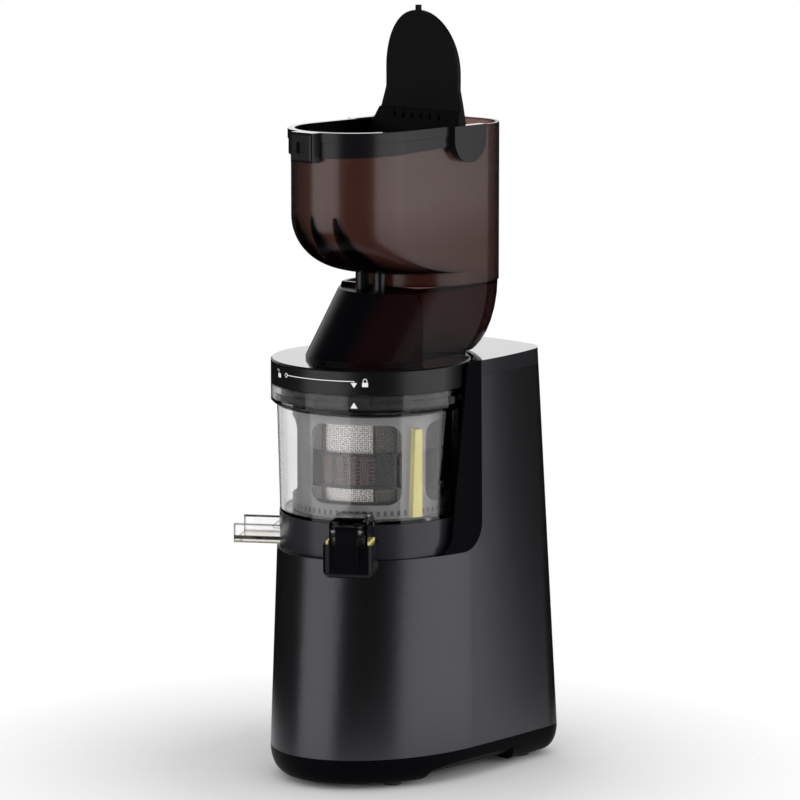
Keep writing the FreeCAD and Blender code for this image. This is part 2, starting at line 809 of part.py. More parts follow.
def motor_can():
    top = BOX_BOTTOM
    bottom = top - MOTOR_LENGTH
    can = cylinder(MOTOR_RADIUS, bottom, top).fuse(cylinder(MOTOR_PILOT, top, top + BOX_FLOOR))
    inside = cylinder(MOTOR_RADIUS - MOTOR_WALL, bottom + MOTOR_END, top - MOTOR_END)
    return can.cut(inside).cut(cylinder(MOTOR_SHAFT + SLIP, bottom, top + BOX_FLOOR))


def magnet_bore():
    return MOTOR_RADIUS - MOTOR_WALL - MAGNET_THICKNESS


def stator_magnets():
    middle = BOX_BOTTOM - MOTOR_LENGTH / 2
    ring = tube(
        MOTOR_RADIUS - MOTOR_WALL - SEAT_GAP,
        magnet_bore(),
        middle - ARMATURE_LENGTH / 2,
        middle + ARMATURE_LENGTH / 2,
    )
    split = box((-BOSS_RADIUS, BOSS_RADIUS), (-FAR, FAR), (0, DECK))
    return ring.cut(split)


def motor_rotor():
    middle = BOX_BOTTOM - MOTOR_LENGTH / 2
    radius = magnet_bore() - AIR_GAP
    bottom = middle - ARMATURE_LENGTH / 2
    armature = cylinder(radius, bottom, bottom + ARMATURE_LENGTH)
    for slot in range(ARMATURE_SLOTS):
        groove = box((radius - 2 * SKIN, FAR), (-SKIN / 2, SKIN / 2), (0, DECK))
        armature = armature.cut(turned_by(groove, 360 / ARMATURE_SLOTS * slot))
    fan_bottom = BOX_BOTTOM - MOTOR_LENGTH - FAN_DROP - FAN_HEIGHT
    shaft = cylinder(MOTOR_SHAFT, fan_bottom, STAGE_ONE_Z + STAGE_ONE_WIDTH + SLIP)
    return joined([armature, shaft])


def motor_pinion():
    outline = gear_outline(PINION_TEETH, DRIVE_MODULE, 90, flank=3)
    gear = plan_prism(outline, STAGE_ONE_Z - PINION_PROUD, STAGE_ONE_Z + STAGE_ONE_WIDTH)
    return gear.cut(cylinder(MOTOR_SHAFT, 0, DECK))


def cooling_fan():
    top = BOX_BOTTOM - MOTOR_LENGTH - FAN_DROP
    bottom = top - FAN_HEIGHT
    pieces = [cylinder(FAN_HUB, bottom, top), cylinder(FAN_RADIUS, top - FAN_PLATE, top)]
    for blade in range(FAN_BLADES):
        reach = (FAN_HUB - VANE_MARGIN, FAN_RADIUS - VANE_MARGIN)
        vane = box(reach, (-FAN_PLATE / 2, FAN_PLATE / 2), (bottom, top))
        pieces.append(turned_by(vane, 360 / FAN_BLADES * blade))
    return joined(pieces).cut(cylinder(MOTOR_SHAFT, bottom, top))


def gearbox_lower():
    tray = capsule(BOX_RADIUS, BOX_BOTTOM, BOX_TOP)
    tray = tray.cut(capsule(BOX_RADIUS - BOX_WALL, BOX_BOTTOM + BOX_FLOOR, BOX_TOP))
    tray = tray.cut(cylinder(MOTOR_PILOT, BOX_BOTTOM, BOX_BOTTOM + BOX_FLOOR))
    return tray.cut(cylinder(IDLER_PIN_RADIUS, BOX_BOTTOM, BOX_TOP, 0, GEAR_DISTANCE))


def gearbox_cover():
    cover = capsule(BOX_RADIUS, BOX_TOP, COVER_TOP)
    boss = cylinder(BOSS_TUBE_RADIUS, COVER_TOP, DECK + BOSS_TUBE_TOP)
    cover = joined([cover, boss]).cut(cylinder(BEARING_RADIUS, BOX_TOP, DECK + BOSS_TUBE_TOP))
    return cover.cut(cylinder(IDLER_PIN_RADIUS, BOX_TOP, COVER_TOP, 0, GEAR_DISTANCE))


def idler_pin():
    return cylinder(IDLER_PIN_RADIUS, BOX_BOTTOM, COVER_TOP, 0, GEAR_DISTANCE)


def idler_gear():
    tooth_gap = -90 + 180 / WHEEL_TEETH
    wheel = gear_outline(WHEEL_TEETH, DRIVE_MODULE, tooth_gap, flank=1)
    pinion = gear_outline(PINION_TEETH, DRIVE_MODULE, -90, flank=3)
    y = GEAR_DISTANCE
    pieces = [
        plan_prism(moved(wheel, 0, y), STAGE_ONE_Z, STAGE_ONE_Z + STAGE_ONE_WIDTH),
        cylinder(IDLER_HUB, STAGE_ONE_Z + STAGE_ONE_WIDTH, STAGE_TWO_Z - SHOULDER, 0, y),
        plan_prism(moved(pinion, 0, y), STAGE_TWO_Z - SHOULDER, STAGE_TWO_Z + STAGE_TWO_WIDTH),
        tube(IDLER_HUB, IDLER_PIN_RADIUS, BOX_BOTTOM + BOX_FLOOR + RUN_GAP, STAGE_ONE_Z, 0, y),
    ]
    return joined(pieces).cut(cylinder(IDLER_PIN_RADIUS + SLIP, BOX_BOTTOM, BOX_TOP, 0, y))


def output_gear():
    outline = gear_outline(WHEEL_TEETH, DRIVE_MODULE, 90 + 180 / WHEEL_TEETH, flank=1)
    gear = plan_prism(outline, STAGE_TWO_Z + SHOULDER, STAGE_TWO_Z + STAGE_TWO_WIDTH - SHOULDER)
    hub = cylinder(IDLER_HUB, STAGE_TWO_Z + STAGE_TWO_WIDTH - SHOULDER, BOX_TOP - RUN_GAP)
    return joined([gear, hub]).cut(cylinder(SHAFT_RADIUS, 0, DECK))


def drive_shaft():
    shaft = cylinder(SHAFT_RADIUS, STAGE_TWO_Z + SHOULDER, HEX_BOTTOM)
    return joined([shaft, plan_prism(hexagon(HEX_FLATS), HEX_BOTTOM, HEX_TOP)])


def shaft_bearings():
    top = DECK + BOSS_TUBE_TOP - OIL_SEAL_HEIGHT
    bearings = []
    for bottom in (BOX_TOP, top - BEARING_HEIGHT):
        bearings.append(tube(BEARING_RADIUS, SHAFT_RADIUS + SLIP, bottom, bottom + BEARING_HEIGHT))
    return bearings


def shaft_oil_seal():
    top = DECK + BOSS_TUBE_TOP
    return tube(BEARING_RADIUS, SHAFT_RADIUS + SLIP, top - OIL_SEAL_HEIGHT, top)


# Electrics

def control_board():
    return board_space()


def capacitor():
    return along_y(CAPACITOR_RADIUS, BOARD_Y - CAPACITOR_LENGTH, BOARD_Y, 0, CAPACITOR_Z)


def reed_sensor():
    width, depth, height = SENSOR
    front = BAY_MOUTH + BAY_WALL + SENSOR_GAP
    return box((-width / 2, width / 2), (front, front + depth), (CAP_SEAM - height, CAP_SEAM))


def rocker_axis():
    """Depth of the rocker's axis, inside the back of the base."""
    return back_of_base(SWITCH_Z) + SWITCH_RIM - ROCKER_FACE


def switch_bezel():
    half_x, half_z = SWITCH_HALF
    back = back_of_base(CORD_Z)
    face = back_of_base(SWITCH_Z) + SWITCH_RIM
    body = box((-half_x, half_x), (face - SWITCH_DEPTH, face), (SWITCH_Z - half_z, SWITCH_Z + half_z))
    rim = half_x + SWITCH_RIM, half_z + SWITCH_RIM
    flange = box((-rim[0], rim[0]), (back - SWITCH_RIM, face), (SWITCH_Z - rim[1], SWITCH_Z + rim[1]))
    well_x = ROCKER_HALF + RUN_GAP
    well_z = ROCKER_RADIUS + RUN_GAP
    depth = (face - SWITCH_DEPTH + SKIN, face)
    pocket = box((-well_x, well_x), depth, (SWITCH_Z - well_z, SWITCH_Z + well_z))
    radius, length = ROCKER_STUB
    reach = ROCKER_HALF + length + SLIP
    bezel = joined([body, flange.cut(base_skin())]).cut(pocket)
    return bezel.cut(along_x(radius + SLIP, -reach, reach, rocker_axis(), SWITCH_Z))


def switch_rocker():
    """Rocker within a circle about its own axis, with its face in two slopes."""
    y = rocker_axis()
    slope = ROCKER_RADIUS * math.tan(math.radians(ROCKER_TILT))
    steps = [
        (y - ROCKER_BACK, SWITCH_Z - ROCKER_RADIUS),
        (y + ROCKER_FACE, SWITCH_Z - ROCKER_RADIUS),
        (y + ROCKER_FACE - slope / 2, SWITCH_Z),
        (y + ROCKER_FACE, SWITCH_Z + ROCKER_RADIUS),
        (y - ROCKER_BACK, SWITCH_Z + ROCKER_RADIUS),
    ]
    body = side_prism(steps, -ROCKER_HALF, ROCKER_HALF)
    body = body.common(along_x(ROCKER_RADIUS, -ROCKER_HALF, ROCKER_HALF, y, SWITCH_Z))
    radius, length = ROCKER_STUB
    reach = ROCKER_HALF + length
    return joined([body, along_x(radius, -reach, reach, y, SWITCH_Z)])


def cord_bush():
    back = back_of_base(CORD_Z)
    body = along_y(CORD_BUSH, back - 2 * CORD_BUSH, back, 0, CORD_Z)
    flange = along_y(CORD_FLANGE, back, back + CORD_FLANGE_THICKNESS, 0, CORD_Z)
    return joined([body, flange]).cut(along_y(CORD_BORE, back - FAR / 10, back + FAR / 10, 0, CORD_Z))


# Bowl and what turns in it

def juice_spout():
    bottom = DECK + BAND_HEIGHT - SPOUT_DROP
    top = BAND_TOP + SPOUT_RISE
    spout = box((FLOOR_EDGE - SPOUT_WALL, SPOUT_END), (-SPOUT_HALF, SPOUT_HALF), (bottom, top))
    upper = []
    for edge in spout.Edges:
        if edge.BoundBox.ZMin > top - OVER and edge.BoundBox.XMax > FLOOR_EDGE:
            upper.append(edge)
    return spout.makeFillet(SPOUT_ROUND, upper)


def spout_lugs():
    bottom = cap_pivot_z() - CAP_BARREL
    top = cap_pivot_z() + CAP_BARREL
    reach = (SPOUT_END - SPOUT_WALL, CAP_PIVOT + CAP_BARREL)
    lug = box(reach, (LEVER_HALF + RUN_GAP, CAP_LUG_HALF), (bottom, top))
    return [lug, lug.mirror(point(0, 0, 0), point(0, 1, 0))]


def spout_channel():
    half = SPOUT_HALF - SPOUT_WALL
    bottom = DECK + BAND_HEIGHT - SPOUT_DROP
    top = BAND_TOP + SPOUT_RISE - SPOUT_WALL
    channel = box((FLOOR_EDGE + BAND_STEP, SPOUT_END - SPOUT_WALL), (-half, half), (bottom + SPOUT_WALL, top))
    depth = (bottom - OVER, bottom + 2 * SPOUT_WALL)
    outlet = box((OUTLET_NEAR, SPOUT_END - SPOUT_WALL), (-half, half), depth)
    inlet_half = half - SPOUT_WALL
    inlet = box((BOWL_BORE - 2 * BOWL_WALL, BOWL_RADIUS), (-inlet_half, inlet_half), (FLOOR_TOP, top))
    return [channel, outlet, inlet]


def cap_pivot_z():
    return BAND_TOP


def trough_levels():
    bottom = DECK + TROUGH_LIFT
    return bottom, bottom + TROUGH_HEIGHT


def pulp_duct():
    """Duct from the pulp port down to the open trough."""
    bottom, top = trough_levels()
    near = PORT_NEAR - TROUGH_WALL
    steps = [
        (near, FLOOR_BOTTOM),
        (near, bottom + TROUGH_FALL),
        (TROUGH_KNEE, bottom),
        (TROUGH_END, bottom),
        (TROUGH_END, top),
        (TROUGH_STEP, top),
        (TROUGH_STEP, FLOOR_BOTTOM),
    ]
    return front_prism(steps, -TROUGH_HALF, TROUGH_HALF)


def pulp_passage():
    bottom, top = trough_levels()
    half = TROUGH_HALF - TROUGH_WALL
    floor = bottom + TROUGH_WALL
    roof = top - TROUGH_WALL
    outside = BAND_RADIUS + TROUGH_WALL
    steps = [
        (PORT_NEAR, FLOOR_BOTTOM),
        (PORT_NEAR, floor + TROUGH_FALL - TROUGH_WALL / 2),
        (TROUGH_KNEE, floor),
        (TROUGH_END + OVER, floor),
        (TROUGH_END + OVER, top + OVER),
        (outside, top + OVER),
        (outside, roof),
        (TROUGH_STEP - TROUGH_WALL, roof),
        (TROUGH_STEP - TROUGH_WALL, FLOOR_BOTTOM),
    ]
    return front_prism(steps, -half, half)


def pulp_port(grow, bottom, top):
    return box((PORT_NEAR - grow, PORT_FAR + grow), (-PORT_HALF - grow, PORT_HALF + grow), (bottom, top))


def juicing_bowl():
    stem_bore = STEM_RADIUS + SLIP
    steps = [
        (stem_bore, FLOOR_BOTTOM),
        (FLOOR_EDGE, FLOOR_BOTTOM),
        (FLOOR_EDGE, BAND_TOP),
        (BOWL_RADIUS, BAND_TOP),
        (BOWL_TOP_RADIUS, FLANGE_BOTTOM),
        (LID_RADIUS - FLANGE_CHAMFER, FLANGE_BOTTOM),
        (LID_RADIUS, FLANGE_BOTTOM + FLANGE_CHAMFER),
        (LID_RADIUS, FLANGE_TOP),
        (BOWL_MOUTH, FLANGE_TOP),
        (BOWL_MOUTH, FLANGE_BOTTOM),
        (BOWL_BORE, FLOOR_TOP),
        (stem_bore, FLOOR_TOP),
    ]
    bowl = lathe(steps)
    inside = Part.makeCone(BOWL_BORE, BOWL_MOUTH, FLANGE_BOTTOM - FLOOR_TOP, point(0, 0, FLOOR_TOP))
    spout = joined([juice_spout()] + spout_lugs())
    spout = turned_by(spout, JUICE_ANGLE).cut(inside)
    shaft_tube = tube(stem_bore + SHAFT_TUBE_WALL, stem_bore, FLOOR_BOTTOM - SHAFT_TUBE_DROP, FLOOR_BOTTOM)
    pieces = [bowl, spout, turned_by(pulp_duct(), PULP_ANGLE), shaft_tube]
    for side in (-1, 1):
        post = cylinder(STRAINER_POST, FLOOR_TOP, STRAINER_FLOOR, STRAINER_POST_RADIUS, 0)
        pieces.append(turned_by(post, PULP_ANGLE + side * STRAINER_POST_SPREAD))
    bowl = joined(pieces)
    cuts = [turned_by(cut, JUICE_ANGLE) for cut in spout_channel()]
    cuts.append(turned_by(cap_hole(CAP_PIN_RADIUS), JUICE_ANGLE))
    cuts.append(turned_by(pulp_passage(), PULP_ANGLE))
    cuts.append(turned_by(pulp_port(0.0, FLOOR_BOTTOM - OVER, FLOOR_TOP + OVER), PULP_ANGLE))
    pin_hole = cylinder(PLANET_PIN, FLOOR_BOTTOM + PIN_SEAT, FLOOR_TOP, PLANET_DISTANCE, 0)
    cuts.append(turned_by(pin_hole, PLANET_ANGLE))
    lug_bottom = FLANGE_TOP - LUG_DROP - LUG_HEIGHT - LUG_GAP
    lug_top = FLANGE_TOP - LUG_DROP + LUG_GAP
    lug_radius = plug_radius() + LUG_REACH + LUG_GAP
    cuts.append(cylinder(lug_radius, lug_bottom, lug_top))
    for angle in LUG_ANGLES:
        half = LUG_HALF + LUG_GAP
        entry = box((BOWL_BORE, lug_radius), (-half, half), (lug_bottom, FLANGE_TOP + OVER))
        cuts.append(turned_by(entry, angle + UNLOCK_TURN))
    return bowl.cut(cuts)


def bowl_skirt():
    band = tube(BAND_RADIUS, BAND_BORE, DECK + SEAT_GAP, BAND_TOP)
    bottom = DECK + BAND_HEIGHT - SPOUT_DROP
    half = SPOUT_HALF + SEAT_GAP
    spout = box((BAND_BORE - SKIN, FAR), (-half, half), (bottom - SEAT_GAP, BAND_TOP))
    half = TROUGH_HALF + SEAT_GAP
    trough = box((0, FAR), (-half, half), (DECK, trough_levels()[1] + SEAT_GAP))
    return band.cut(turned_by(spout, JUICE_ANGLE)).cut(turned_by(trough, PULP_ANGLE))


def bowl_seal():
    return tube(BOWL_SEAL_RADIUS, STEM_RADIUS + SLIP, FLOOR_TOP, FLOOR_TOP + BOWL_SEAL_HEIGHT)


def pulp_seal():
    top = FLOOR_TOP + PULP_SEAL_HEIGHT
    ring = pulp_port(CHUTE_WALL, FLOOR_TOP, top).cut(pulp_port(0.0, FLOOR_TOP, top))
    return turned_by(ring, PULP_ANGLE)


def pinion_pin():
    pin = cylinder(PLANET_PIN, FLOOR_BOTTOM + PIN_SEAT, GEAR_Z + BRUSH_GEAR_WIDTH, PLANET_DISTANCE, 0)
    return turned_by(pin, PLANET_ANGLE)


def brush_pinion():
    """The pinion has a gap on each side of it along the line of centres."""
    outline = gear_outline(PLANET_TEETH, BRUSH_MODULE, 180 / PLANET_TEETH)
    gear = plan_prism(moved(outline, PLANET_DISTANCE, 0), GEAR_Z, GEAR_Z + BRUSH_GEAR_WIDTH)
    collar = tube(2 * PLANET_PIN, PLANET_PIN, FLOOR_TOP + RUN_GAP, GEAR_Z, PLANET_DISTANCE)
    gear = joined([gear, collar]).cut(cylinder(PLANET_PIN + SLIP, 0, LID_TOP, PLANET_DISTANCE))
    return turned_by(gear, PLANET_ANGLE)


def strainer_frame():
    floor = cylinder(FRAME_OUT, STRAINER_FLOOR, STRAINER_FLOOR + FRAME_FLOOR)
    rim_bottom = CAGE_TOP - FRAME_TOP_RING
    frame_bore = STRAINER_OUT + SEAT_GAP
    band_bottom = DECK + FRAME_BAND_BOTTOM
    band_top = DECK + FRAME_BAND_TOP
    reach = FRAME_OUT + FRAME_RIM_REACH
    pieces = [
        floor,
        tube(FRAME_OUT, frame_bore, band_bottom, band_top),
        tube(reach, frame_bore, band_bottom, band_bottom + FRAME_LIP),
        tube(reach, frame_bore, band_top - FRAME_LIP, band_top),
        tube(reach, frame_bore, rim_bottom, CAGE_TOP),
    ]
    for rib in range(FRAME_RIBS):
        bar = box((STRAINER_RADIUS, FRAME_OUT), (-FRAME_RIB_HALF, FRAME_RIB_HALF), (STRAINER_FLOOR, CAGE_TOP))
        bar = bar.cut(cylinder(frame_bore, STRAINER_FLOOR + FRAME_FLOOR, CAGE_TOP))
        pieces.append(turned_by(bar, 360 / FRAME_RIBS * rib))
    chute = pulp_port(CHUTE_WALL, FLOOR_TOP + PULP_SEAL_HEIGHT, STRAINER_FLOOR)
    pieces.append(turned_by(chute, PULP_ANGLE))
    frame = joined(pieces).cut(cylinder(AUGER_NECK + SWEEP_GAP, 0, LID_TOP))
    return frame.cut(turned_by(pulp_port(0.0, FLOOR_TOP, STRAINER_FLOOR + FRAME_FLOOR), PULP_ANGLE))


def strainer_mesh():
    return tube(STRAINER_OUT, STRAINER_RADIUS, STRAINER_FLOOR + FRAME_FLOOR, CAGE_TOP - SEAT_GAP)


def cage_angles(count):
    return [CAGE_POST_ANGLE + 360 / count * post for post in range(count)]


def cage_window():
    """Radial prism of one rounded window of the brush cage."""
    half = RING_RADIUS * math.sin(math.radians(CAGE_WINDOW_SPAN / 2))
    bottom = GEAR_Z + BRUSH_GEAR_WIDTH + CAGE_WALL
    top = CAGE_TOP - CAGE_TOP_RING
    r = CAGE_WINDOW_ROUND
    steps = [
        (-half + r, bottom),
        (half - r, bottom),
        arc((half - r, bottom + r), r, -90, 0),
        (half, top - r),
        arc((half - r, top - r), r, 0, 90),
        (-half + r, top),
        arc((-half + r, top - r), r, 90, 180),
        (-half, bottom + r),
        arc((-half + r, bottom + r), r, 180, 270),
    ]
    wire = closed_wire(steps, lambda y, z: point(RING_RADIUS / 2, y, z))
    return Part.Face(wire).extrude(point(RING_RADIUS, 0, 0))


def wiper():
    """Tapered silicone wiper, standing in a groove down the outside of its cage post and the gear ring."""
    bottom = FLOOR_TOP + RUN_GAP + WIPER_LIFT
    top = CAGE_TOP - CAGE_TOP_RING - WIPER_INSET
    near = RING_RADIUS - CAGE_WALL / 2
    far = BOWL_BORE - SWEEP_GAP
    steps = [
        (-WIPER_FOOT_HALF, bottom),
        (WIPER_TOP_HALF, bottom),
        (WIPER_TOP_HALF, top),
        (-WIPER_TOP_HALF, top),
    ]
    wire = closed_wire(steps, lambda y, z: point(near, y, z))
    return Part.Face(wire).extrude(point(far - near, 0, 0))


def brush_frame():
    bottom = FLOOR_TOP + RUN_GAP
    gear_top = GEAR_Z + BRUSH_GEAR_WIDTH
    cage = tube(RING_RADIUS, RING_RADIUS - CAGE_WALL, bottom, CAGE_TOP)
    ring = cylinder(RING_RADIUS, bottom, gear_top)
    space = gear_outline(RING_TEETH, BRUSH_MODULE, 180 / RING_TEETH, 1.25, 1.0, BACKLASH, 1)
    ring = ring.cut(turned_by(plan_prism(space, bottom, gear_top), PLANET_ANGLE))
    cage = joined([cage, ring])
    for angle in cage_angles(CAGE_POSTS):
        cage = cage.cut(turned_by(cage_window(), angle + 180 / CAGE_POSTS))
    for angle in cage_angles(WIPERS):
        cage = cage.cut(turned_by(wiper(), angle))
    return cage


def wiper_blades():
    return [turned_by(wiper(), angle) for angle in cage_angles(WIPERS)]


def auger_flight():
    """One helical flight: a tapered section turned and lifted in even steps round the core."""
    bottom = STRAINER_FLOOR + FRAME_FLOOR + RUN_GAP + FLIGHT_ROOT / 2
    inner = AUGER_HEAD_RADIUS - FLIGHT_TIP
    steps = [
        (inner, -FLIGHT_ROOT / 2),
        (AUGER_RADIUS, -FLIGHT_TIP / 2),
        (AUGER_RADIUS, FLIGHT_TIP / 2),
        (inner, FLIGHT_ROOT / 2),
    ]
    sections = []
    for step in range(int(AUGER_TURNS * FLIGHT_STEPS) + 1):
        level = bottom + AUGER_PITCH * step / FLIGHT_STEPS
        section = closed_wire(steps, lambda r, z: point(r, 0, level + z))
        sections.append(turned_by(section, 360 * step / FLIGHT_STEPS))
    return Part.makeLoft(sections, True, False)


def auger_screw():
    core_bottom = STRAINER_FLOOR + FRAME_FLOOR + RUN_GAP
    core_top = core_bottom + AUGER_PITCH * AUGER_TURNS + FLIGHT_ROOT
    gear_top = GEAR_Z + BRUSH_GEAR_WIDTH
    pivot_top = LID_TOP - BUSH_TOP_DROP - SWEEP_GAP
    core = lathe([
        (0, FLOOR_BOTTOM - STEM_DROP + SWEEP_GAP),
        (STEM_RADIUS, FLOOR_BOTTOM - STEM_DROP + SWEEP_GAP),
        (STEM_RADIUS, gear_top),
        (AUGER_NECK, gear_top),
        (AUGER_NECK, core_bottom),
        (AUGER_FOOT_RADIUS, core_bottom),
        (AUGER_HEAD_RADIUS, core_top),
        (AUGER_PIVOT, core_top + AUGER_HEAD_RADIUS - AUGER_PIVOT),
        (AUGER_PIVOT, pivot_top),
        (0, pivot_top),
    ])
    tooth_at_planet = gear_outline(SUN_TEETH, BRUSH_MODULE, PLANET_ANGLE)
    sun = plan_prism(tooth_at_planet, GEAR_Z, gear_top)
    auger = joined([core, sun, auger_flight()])
    return auger.cut(cylinder(INSERT_RADIUS, 0, HEX_TOP + INSERT_ROOF))


def auger_insert():
    bottom = FLOOR_BOTTOM - STEM_DROP + SWEEP_GAP
    insert = cylinder(INSERT_RADIUS, bottom, HEX_TOP + INSERT_ROOF)
    return insert.cut(plan_prism(hexagon(HEX_FLATS + 2 * SLIP), bottom, HEX_TOP + HEX_END_GAP))


def cap_hole(radius):
    start = point(CAP_PIVOT, -CAP_LUG_HALF, cap_pivot_z())
    return Part.makeCylinder(radius, 2 * CAP_LUG_HALF, start, point(0, 1, 0))


def spout_cap():
    """Cup over the spout's outlet, hung from a barrel by its finger lever."""
    pivot = cap_pivot_z()
    bottom = pivot - CAP_BOTTOM_DROP
    top = pivot - CAP_TOP_DROP
    cup = box((CAP_NEAR, CAP_END), (-CAP_HALF, CAP_HALF), (bottom, top))
    rounded = []
    for edge in cup.Edges:
        if edge.BoundBox.XMax > CAP_NEAR + OVER and edge.BoundBox.ZMin < top - OVER:
            rounded.append(edge)
    cup = cup.makeFillet(CAP_ROUND, rounded)
    half = CAP_HALF - CAP_WALL
    cup = cup.cut(box((0, CAP_END - CAP_FLOOR), (-half, half), (bottom + CAP_FLOOR, FAR)))
    face = CAP_END + LEVER_THICKNESS
    foot = pivot - LEVER_DROP
    lever_steps = [
        (CAP_END - LEVER_ROOT, pivot),
        (face, pivot),
        [(face + LEVER_BOW, (pivot + foot) / 2), (face, foot)],
        (CAP_END - LEVER_ROOT, foot),
    ]
    lever = front_prism(lever_steps, -LEVER_HALF, LEVER_HALF)
    corners = []
    for edge in lever.Edges:
        if edge.BoundBox.ZMax < foot + SLIP and edge.BoundBox.YLength < SLIP:
            corners.append(edge)
    lever = lever.makeFillet(LEVER_ROUND, corners)
    start = point(CAP_PIVOT, -LEVER_HALF, pivot)
    barrel = Part.makeCylinder(CAP_BARREL, 2 * LEVER_HALF, start, point(0, 1, 0))
    cap = joined([cup, lever, barrel])
    return turned_by(cap.cut(cap_hole(CAP_PIN_RADIUS + SLIP)), JUICE_ANGLE)


def cap_seal():
    pivot = cap_pivot_z()
    bottom = pivot - CAP_BOTTOM_DROP + CAP_FLOOR
    top = pivot - CAP_TOP_DROP + SEAL_RISE
    outlet = DECK + BAND_HEIGHT - SPOUT_DROP - RUN_GAP
    half = CAP_HALF - CAP_WALL
    near = CAP_NEAR + SEAL_SETBACK
    far = CAP_END - CAP_FLOOR
    pad = box((near, far), (-half, half), (bottom, outlet))
    walls = box((near, far), (-half, half), (bottom, top))
    walls = walls.cut(box((0, far + OVER), (-half + SEAL_STRIP, half - SEAL_STRIP), (bottom, FAR)))
    return turned_by(joined([pad, walls]), JUICE_ANGLE)


def cap_pin():
    return turned_by(cap_hole(CAP_PIN_RADIUS), JUICE_ANGLE)


# Lid, feed neck and hopper

def plug_radius():
    return BOWL_MOUTH - PLUG_GAP


def lid():
    plug_bottom = LID_BOTTOM - PLUG_DROP
    plug_bore = plug_radius() - PLUG_WALL
    bush_top = LID_TOP - BUSH_TOP_DROP
    bush_bottom = bush_top - BUSH_LENGTH
    plate_bottom = LID_TOP - LID_PLATE
    body = lathe([
        (0, LID_TOP),
        (LID_RADIUS - LID_CHAMFER, LID_TOP),
        (LID_RADIUS, LID_TOP - LID_CHAMFER),
        (LID_RADIUS, LID_BOTTOM),
        (plug_radius(), LID_BOTTOM),
        (plug_radius(), plug_bottom),
        (plug_bore, plug_bottom),
        (plug_bore, plate_bottom),
        (BUSH_BOSS, plate_bottom),
        (BUSH_BOSS, bush_bottom),
        (BUSH_RADIUS, bush_bottom),
        (BUSH_RADIUS, bush_top),
        (0, bush_top),
    ])
    lug_top = FLANGE_TOP - LUG_DROP
    reach = plug_radius() + LUG_REACH
    lugs = []
    for angle in LUG_ANGLES:
        lug = box((plug_bore + LUG_ROOT, FAR), (-LUG_HALF, LUG_HALF), (lug_top - LUG_HEIGHT, lug_top))
        lugs.append(turned_by(lug.common(cylinder(reach, 0, LID_TOP)), angle))
    body = joined([body] + lugs)
    return body.cut(feed_hole(plate_bottom - OVER, LID_TOP + OVER)).cut(magnet_pocket())


def magnet_pocket(bottom=None):
    width, depth, height = MAGNET
    middle = (plug_radius() + LID_RADIUS) / 2
    top = LID_BOTTOM + MAGNET_LIFT + height
    low = LID_BOTTOM - OVER if bottom is None else bottom
    return box((-width / 2, width / 2), (middle - depth / 2, middle + depth / 2), (low, top))


def lid_magnet():
    return magnet_pocket(LID_BOTTOM + MAGNET_LIFT)


def auger_bush():
    top = LID_TOP - BUSH_TOP_DROP
    return tube(BUSH_RADIUS, AUGER_PIVOT + SLIP, top - BUSH_LENGTH, top)


def neck_outline(level, inset):
    """Plan of the feed neck: round front, straight sides and a back with round corners."""
    share = (level - LID_TOP) / NECK_HEIGHT
    half = NECK_HALF - inset
    front = mix(NECK_FRONT_AT_LID, NECK_FRONT_AT_TOP, share) + inset
    swell = math.sqrt(1 - (1 - share) ** 2)
    rear = mix(NECK_REAR_AT_LID, NECK_REAR_AT_TOP, swell) - inset
    r = NECK_ROUND - inset
    steps = [
        (half, front + half),
        (half, rear - r),
        arc((half - r, rear - r), r, 0, 90),
        (-half + r, rear),
        arc((-half + r, rear - r), r, 90, 180),
        (-half, front + half),
        arc((0, front + half), half, 180, 360),
    ]
    return closed_wire(steps, lambda x, y: point(x, y, level))


def neck_solid(inset, bottom, top):
    sections = []
    for step in range(NECK_STEPS + 1):
        rise = 1 - math.cos(math.pi / 2 * step / NECK_STEPS)
        sections.append(neck_outline(mix(bottom, top, rise), inset))
    return Part.makeLoft(sections, True, True)


def neck_foot():
    """Part of the neck's foot that stands on the lid."""
    low = LID_TOP + NECK_LIFT
    foot = Part.Face(neck_outline(low, 0.0)).extrude(point(0, 0, -NECK_LIFT))
    return foot.common(cylinder(LID_RADIUS - SKIN, LID_TOP, low))


def neck_shell():
    low = LID_TOP + NECK_LIFT
    return joined([neck_solid(0.0, low, NECK_TOP), neck_foot()])


def feed_neck():
    low = LID_TOP + NECK_LIFT
    behind = box((-FAR, FAR), (NECK_SPLIT_Y, FAR), (0, FAR * 2))
    inside = box((-FAR, FAR), (NECK_SPLIT_Y + SMOKE_WALL, FAR), (0, FAR * 2))
    hollow = neck_solid(SMOKE_WALL, low + NECK_FLOOR, NECK_TOP).common(inside)
    neck = neck_shell().common(behind).cut(hollow)
    return neck.cut(feed_hole(LID_TOP, low + 2 * NECK_FLOOR))


def neck_cover():
    low = LID_TOP + NECK_LIFT
    top = NECK_TOP - COVER_DROP
    front = box((-FAR, FAR), (-FAR, NECK_SPLIT_Y), (0, top))
    hollow = neck_solid(SMOKE_WALL, low, top - SMOKE_WALL)
    return neck_shell().common(front).cut(hollow)


